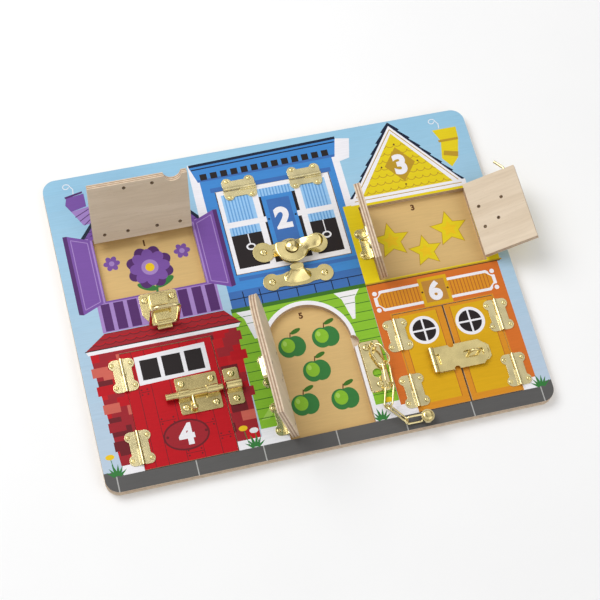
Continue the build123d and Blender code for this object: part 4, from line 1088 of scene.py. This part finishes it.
head_rings = 11
head_steps = 32
head_share = 0.96
head_rise = 0.42
slot_reach = 0.52
slot_half_width = 0.15
slot_depth = 0.36
neck_share = 0.5
neck_depth = 0.35
wide_head_bore = 2.2 * mm
wide_head_spread = 1.4
head_lift = 0.02 * mm


def head_height(share, c, s):
    """Height of a domed head with a cross slot, as a share of its radius."""
    rise = head_rise * math.sqrt(max(0.0, 1 - share**2))
    x = abs(share * c)
    y = abs(share * s)
    if max(x, y) < slot_reach and min(x, y) < slot_half_width:
        rise -= slot_depth
    return rise


def make_heads(node, body, material):
    """Domed screw heads with cross slots, on their shanks, where a node's plain screws are."""
    name = node + "_heads"
    normal, across, other = facing_of(body)
    chance = random.Random(len(name))
    heads = Shell()
    for solid in islands(node):
        centre, crown, level = crown_of(solid, normal)
        bore = crown * head_share
        radius = bore * wide_head_spread if bore > wide_head_bore else bore
        centre = centre + normal * head_lift
        lean = chance.uniform(0, math.pi)
        neck = bore * neck_share
        length = level - min(point.dot(normal) for point in solid)
        profile = ((-length, neck), (-bore * neck_depth, neck), (0, bore), (0, radius))
        rings = [
            circle(centre + normal * height, across, other, reach, head_steps, lean)
            for height, reach in profile
        ]
        heads.wrap(rings, low_cap=True)
        rings = []
        for number in range(head_rings, 0, -1):
            share = number / head_rings
            rim = circle(centre, across, other, radius * share, head_steps, lean)
            heights = [normal * radius * head_height(share, c, s) for c, s in around(head_steps)]
            rings.append([point + height for point, height in zip(rim, heights)])
        heads.wrap(rings)
        heads.point_up(centre + normal * radius * head_height(0, 0, 0), head_steps)
    piece = heads.place(name, body, material)
    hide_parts(node)


# Sizes of the flat rings of painted shade and splintered wood round each screw's point.
mark_radii = (0.6 * mm, 1.6 * mm)


def make_screw_marks(node, body, material):
    """Dark rings in a door's back, where its screws come through: splintered wood with painted shade of the holes,
    laid flat on the wood.
    """
    normal, across, other = facing_of(body)
    back = (rest_swing(body) @ Vector((0, 0, pocket_floor))).dot(normal) - ink_lift
    marks = Shell()
    for solid in islands(node):
        centre, _, level = crown_of(solid, normal)
        centre = centre + normal * (back - level)
        marks.wrap([circle(centre, across, other, radius, head_steps) for radius in mark_radii])
    marks.place(node + "_marks", body, material)


keeper_lobe = 8 * mm
keeper_plate = 1 * mm
keeper_waist = 5.7 * mm
waist_swell = 1.8 * mm
swell_reach = 11 * mm
lobe_start = -4.8 * mm
plate_steps = 60
hump_rings = 16
hump_steps = 40
hump_lean = 8.2 * mm
hump_squareness = 0.8
neck_half_x = 5.9 * mm
neck_half_y = 2.5 * mm
foot_flare_x = 7.9 * mm
foot_flare_y = 4.5 * mm
top_flare_y = 0.5 * mm


def hump_size(share):
    """Half the hump's width and depth at a share of its height."""
    half_x = neck_half_x + foot_flare_x * (1 - share) ** 1.9
    half_y = neck_half_y + foot_flare_y * (1 - share) ** 2 + top_flare_y * share**4
    return half_x, half_y


def make_sash_keeper(body, material):
    """The sash lock's keeper: a lobed plate and a hump that narrows to a neck under the cam."""
    low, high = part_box("sash_keeper")
    x0 = (low.x + high.x) / 2
    y0 = low.y + keeper_lobe
    spread = high.x - x0 - keeper_lobe
    outline = []
    for side in (1, -1):
        for step in range(plate_steps):
            x = (high.x - x0) * math.cos(math.pi * step / plate_steps) * side
            reach = abs(x) - spread
            half = math.sqrt(max(0, keeper_lobe**2 - reach**2))
            if reach <= lobe_start:
                half = keeper_waist + waist_swell * math.exp(-((abs(x) / swell_reach) ** 6))
            outline.append((x0 + x, y0 + half * side))
    keeper = Shell()
    levels = (board_top, board_top + keeper_plate)
    keeper.wrap([[Vector((x, y, z)) for x, y in outline] for z in levels], low_cap=True, high_cap=True)
    rings = []
    for number in range(hump_rings + 1):
        share = number / hump_rings
        half_x, half_y = hump_size(share)
        rings.append([])
        for c, s in around(hump_steps):
            x = x0 + half_x * math.copysign(abs(c) ** hump_squareness, c)
            y = y0 + hump_lean * share + half_y * math.copysign(abs(s) ** hump_squareness, s)
            rings[-1].append(Vector((x, y, board_top + (high.z - board_top) * share)))
    keeper.wrap(rings, low_cap=True, high_cap=True)
    piece = keeper.place("sash_keeper_saddle", body, material)
    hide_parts("sash_keeper")


cam_disc = 15 * mm
cam_thickness = 1.3 * mm
cam_hub = 0.19
cam_rings = 8
cam_steps = 96
cam_dish = 0.9 * mm
lever_half_width = 5.2 * mm
lever_rounding = 0.12
twist_start = 9 * mm
twist_axis = -4.4 * mm
twist_slope = 0.75
least_slope = 0.001


def make_sash_cam(body, material):
    """The sash lock's cam: a dished half-disc whose thumb lever twists up as it leaves the middle."""
    low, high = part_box("sash_cam")
    x0 = low.x + cam_disc
    y0 = low.y + cam_disc
    reach = high.x - x0
    rise = high.y - y0
    top_rings = []
    bottom_rings = []
    for ring in range(cam_rings + 1):
        share = cam_hub + (1 - cam_hub) * ring / cam_rings
        bottom_rings.append([])
        for c, s in around(cam_steps):
            edge = min(cam_disc, rise / s) if s > 0 else cam_disc
            if c > 0:
                lever = min(reach / c, lever_half_width / max(abs(s), least_slope))
                tip = (abs(s) * reach / lever_half_width) ** 2 * lever_rounding + 1
                edge = max(edge, min(lever, reach / tip))
            out = edge * share
            twist = max(0, out * c - twist_start) / (reach - twist_start)
            lift = twist * (out * s - twist_axis) * twist_slope
            lift += cam_dish * (out / cam_disc) ** 2 * (1 - twist)
            bottom_rings[-1].append(Vector((x0 + out * c, y0 + out * s, low.z + max(0, lift))))
        top_rings.append([spot + Vector((0, 0, cam_thickness)) for spot in bottom_rings[-1]])
    cam = Shell()
    cam.wrap(bottom_rings + top_rings[::-1], looped=True)
    piece = cam.place("sash_cam_blade", body, material)
    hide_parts("sash_cam")


knob_radius = 5.8 * mm
knob_depth = 2 * mm
crown_profile = ((4.5, 0), (4.5, 0.9), (4.2, 1.4), (3.6, 1.7), (2.6, 1.9), (1.2, 2.0))


def make_chain_knob(body, material):
    """The crown of the chain's end knob: a bevelled button on its plate."""
    low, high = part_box("chain_end_link")
    corners = [vertex.co for vertex in nodes["chain_end_link"].data.vertices]
    level = max(point.z for point in corners if high.x - point.x < knob_depth)
    middle = Vector((high.x - knob_radius, high.y - knob_radius, level))
    up, across, other = Vector((0, 0, mm)), Vector((mm, 0, 0)), Vector((0, mm, 0))
    crown = Shell()
    rings = [
        circle(middle + up * height, across, other, reach, head_steps) for reach, height in crown_profile
    ]
    crown.wrap(rings, low_cap=True, high_cap=True)
    piece = crown.place("chain_knob_crown", body, material)


def make_prints(ink):
    board = draw_board()
    outline = board_outline()
    beyond = 1.2
    for (ax, ay), (bx, by) in zip(outline, outline[1:] + outline[:1]):
        board.cut([(ax, ay), (ax * beyond, ay * beyond), (bx * beyond, by * beyond), (bx, by)])
    lay_print("board_print", board, board_top, "board", ink)
    lay_print("pocket_prints", draw_pockets(), pocket_floor, "board", ink)
    fronts = (draw_door_1, draw_door_2, draw_door_3, draw_door_4, draw_door_5, draw_door_6)
    draw_front = dict(zip(openings, fronts))
    for body in bodies:
        if body[:6] in openings:
            front = Artwork()
            draw_front[body[:6]](front, body)
            lay_print(body + "_print", front, board_top, body, ink)


sheet_plies = 5
sash_makers = {"sash_keeper": make_sash_keeper, "sash_cam": make_sash_cam}


def paint_frame():
    """Materials for every carried-over node, and the pieces that stand for some of them."""
    back_place = Matrix.Translation((0, 0, -sheet_thickness))
    back_ply = make_plywood("back_sheet", back_place, 1, pocket_floor)
    hinge_brass = make_brass("hinge_brass", (230, 217, 170), 0.27, 0.05)
    latch_brass = make_brass("latch_brass", (232, 214, 154), 0.19, 0.04)
    chain_brass = make_brass("chain_brass", (236, 220, 168), 0.14, 0.03, edge_radius=0.15)
    screw_brass = make_brass("screw_brass", (226, 210, 152), 0.16, 0.04, edge_radius=0.12)
    # Splintered wood with painted shade of the screw holes, for the rings on the doors' backs.
    splinter_and_shade_surface = make_mark_surface()
    for body, members in bodies.items():
        for node in members:
            piece = nodes[node]
            if node == "back_panel":
                paint(piece, back_ply)
            elif node == "front_board" or node.endswith("panel"):
                ply = make_plywood(node + "_plywood", rest_swing(body), sheet_plies, sheet_thickness)
                paint(piece, ply)
            elif "chain" in node or node in ("draw_latch_bail", "hook_arm"):
                paint(piece, chain_brass)
                if node == "chain_end_link":
                    make_chain_knob(body, latch_brass)
            elif "leaf" in node or "leaves" in node or node == "hinge_pins":
                paint(piece, hinge_brass)
            elif node.endswith("screws"):
                make_heads(node, body, screw_brass)
                if body in joint_of:
                    # Rings of painted hole shade and splintered wood round the screw points on a door's back.
                    make_screw_marks(node, body, splinter_and_shade_surface)
            elif node in sash_makers:
                sash_makers[node](body, latch_brass)
            else:
                paint(piece, latch_brass)


# Studio


def stand(thing, place, target, roll=0.0):
    """Stand a lamp or camera at a place, aimed at a target and rolled about its view."""
    holder = bpy.data.objects.new(thing.name, thing)
    aim = (Vector(target) - Vector(place)).to_track_quat("-Z", "Y").to_matrix().to_4x4()
    spin = Matrix.Rotation(math.radians(roll), 4, "Z")
    holder.matrix_world = Matrix.Translation(place) @ aim @ spin
    bpy.context.scene.collection.objects.link(holder)
    return holder


def add_lamp(name, place, size, watts):
    lamp = bpy.data.lights.new(name, "AREA")
    lamp.size = size
    lamp.energy = watts
    stand(lamp, place, (0, 0, 0))


def glow(tree, colour, strength=1.0):
    inputs = {"Color": colour, "Strength": strength}
    return add_node(tree, "ShaderNodeBackground", inputs).outputs["Background"]


def either(tree, chosen, first, second):
    """The first light, or the second where it is chosen."""
    inputs = {"Fac": chosen, 1: first, 2: second}
    return add_node(tree, "ShaderNodeMixShader", inputs).outputs["Shader"]


def make_world():
    """Plain pale light, white behind the object, with a few darker panels that only metal mirrors."""
    world = bpy.data.worlds.new("studio_world")
    bpy.context.scene.world = world
    world.use_nodes = True
    tree = world.node_tree
    direction = add_node(tree, "ShaderNodeTexCoord").outputs["Generated"]
    height = add_node(tree, "ShaderNodeSeparateXYZ", {"Vector": direction}).outputs["Z"]
    path = add_node(tree, "ShaderNodeLightPath").outputs
    tone = shaded(tree, height, (0.6, 0.6, 0.6), (0.98, 0.98, 0.98), low=0.0, high=0.9)
    panels = noise(tree, direction, even, scale=2.1, detail=1.0)
    patches = shaded(tree, panels, (0.26, 0.24, 0.21), (1.0, 0.99, 0.97), low=0.4, high=0.56)
    lower = shaded(tree, height, (0.25, 0.24, 0.22), untinted, low=0.05, high=0.4)
    mirrored_light = glow(tree, multiplied(tree, patches, lower))
    lit = either(tree, path["Is Glossy Ray"], glow(tree, tone, strength=0.58), mirrored_light)
    shown = either(tree, path["Is Camera Ray"], lit, glow(tree, (1, 1, 1, 1)))
    wire(tree, tree.nodes["World Output"], {"Surface": shown})


def make_studio():
    reach = 4
    depth = 0.2 * mm
    corners = [(x, y, 0) for x, y in block(-reach, -reach, reach, reach)]
    floor = link_mesh("studio_floor", corners, [(0, 1, 2, 3)])
    floor.location.z = -depth
    paint(floor, make_floor_surface())
    add_lamp("key_lamp", (-0.75, 0.75, 1.35), size=1.1, watts=17.8)
    add_lamp("fill_lamp", (0.9, -0.9, 1.3), size=1.4, watts=6.5)
    make_world()


camera_place = (-0.25931, -0.54854, 1.30037 + board_top)
camera_target = (0.00149, -0.01077, board_top)
camera_roll = 12.621


def make_camera():
    camera = bpy.data.cameras.new("camera")
    camera.sensor_width = 36
    camera.lens = 98.203
    camera.clip_start = 0.05
    camera.clip_end = 20
    bpy.context.scene.camera = stand(camera, camera_place, camera_target, camera_roll)


make_camera()
make_prints(make_ink())
paint_frame()
make_studio()
bpy.context.scene.view_settings.view_transform = "Standard"
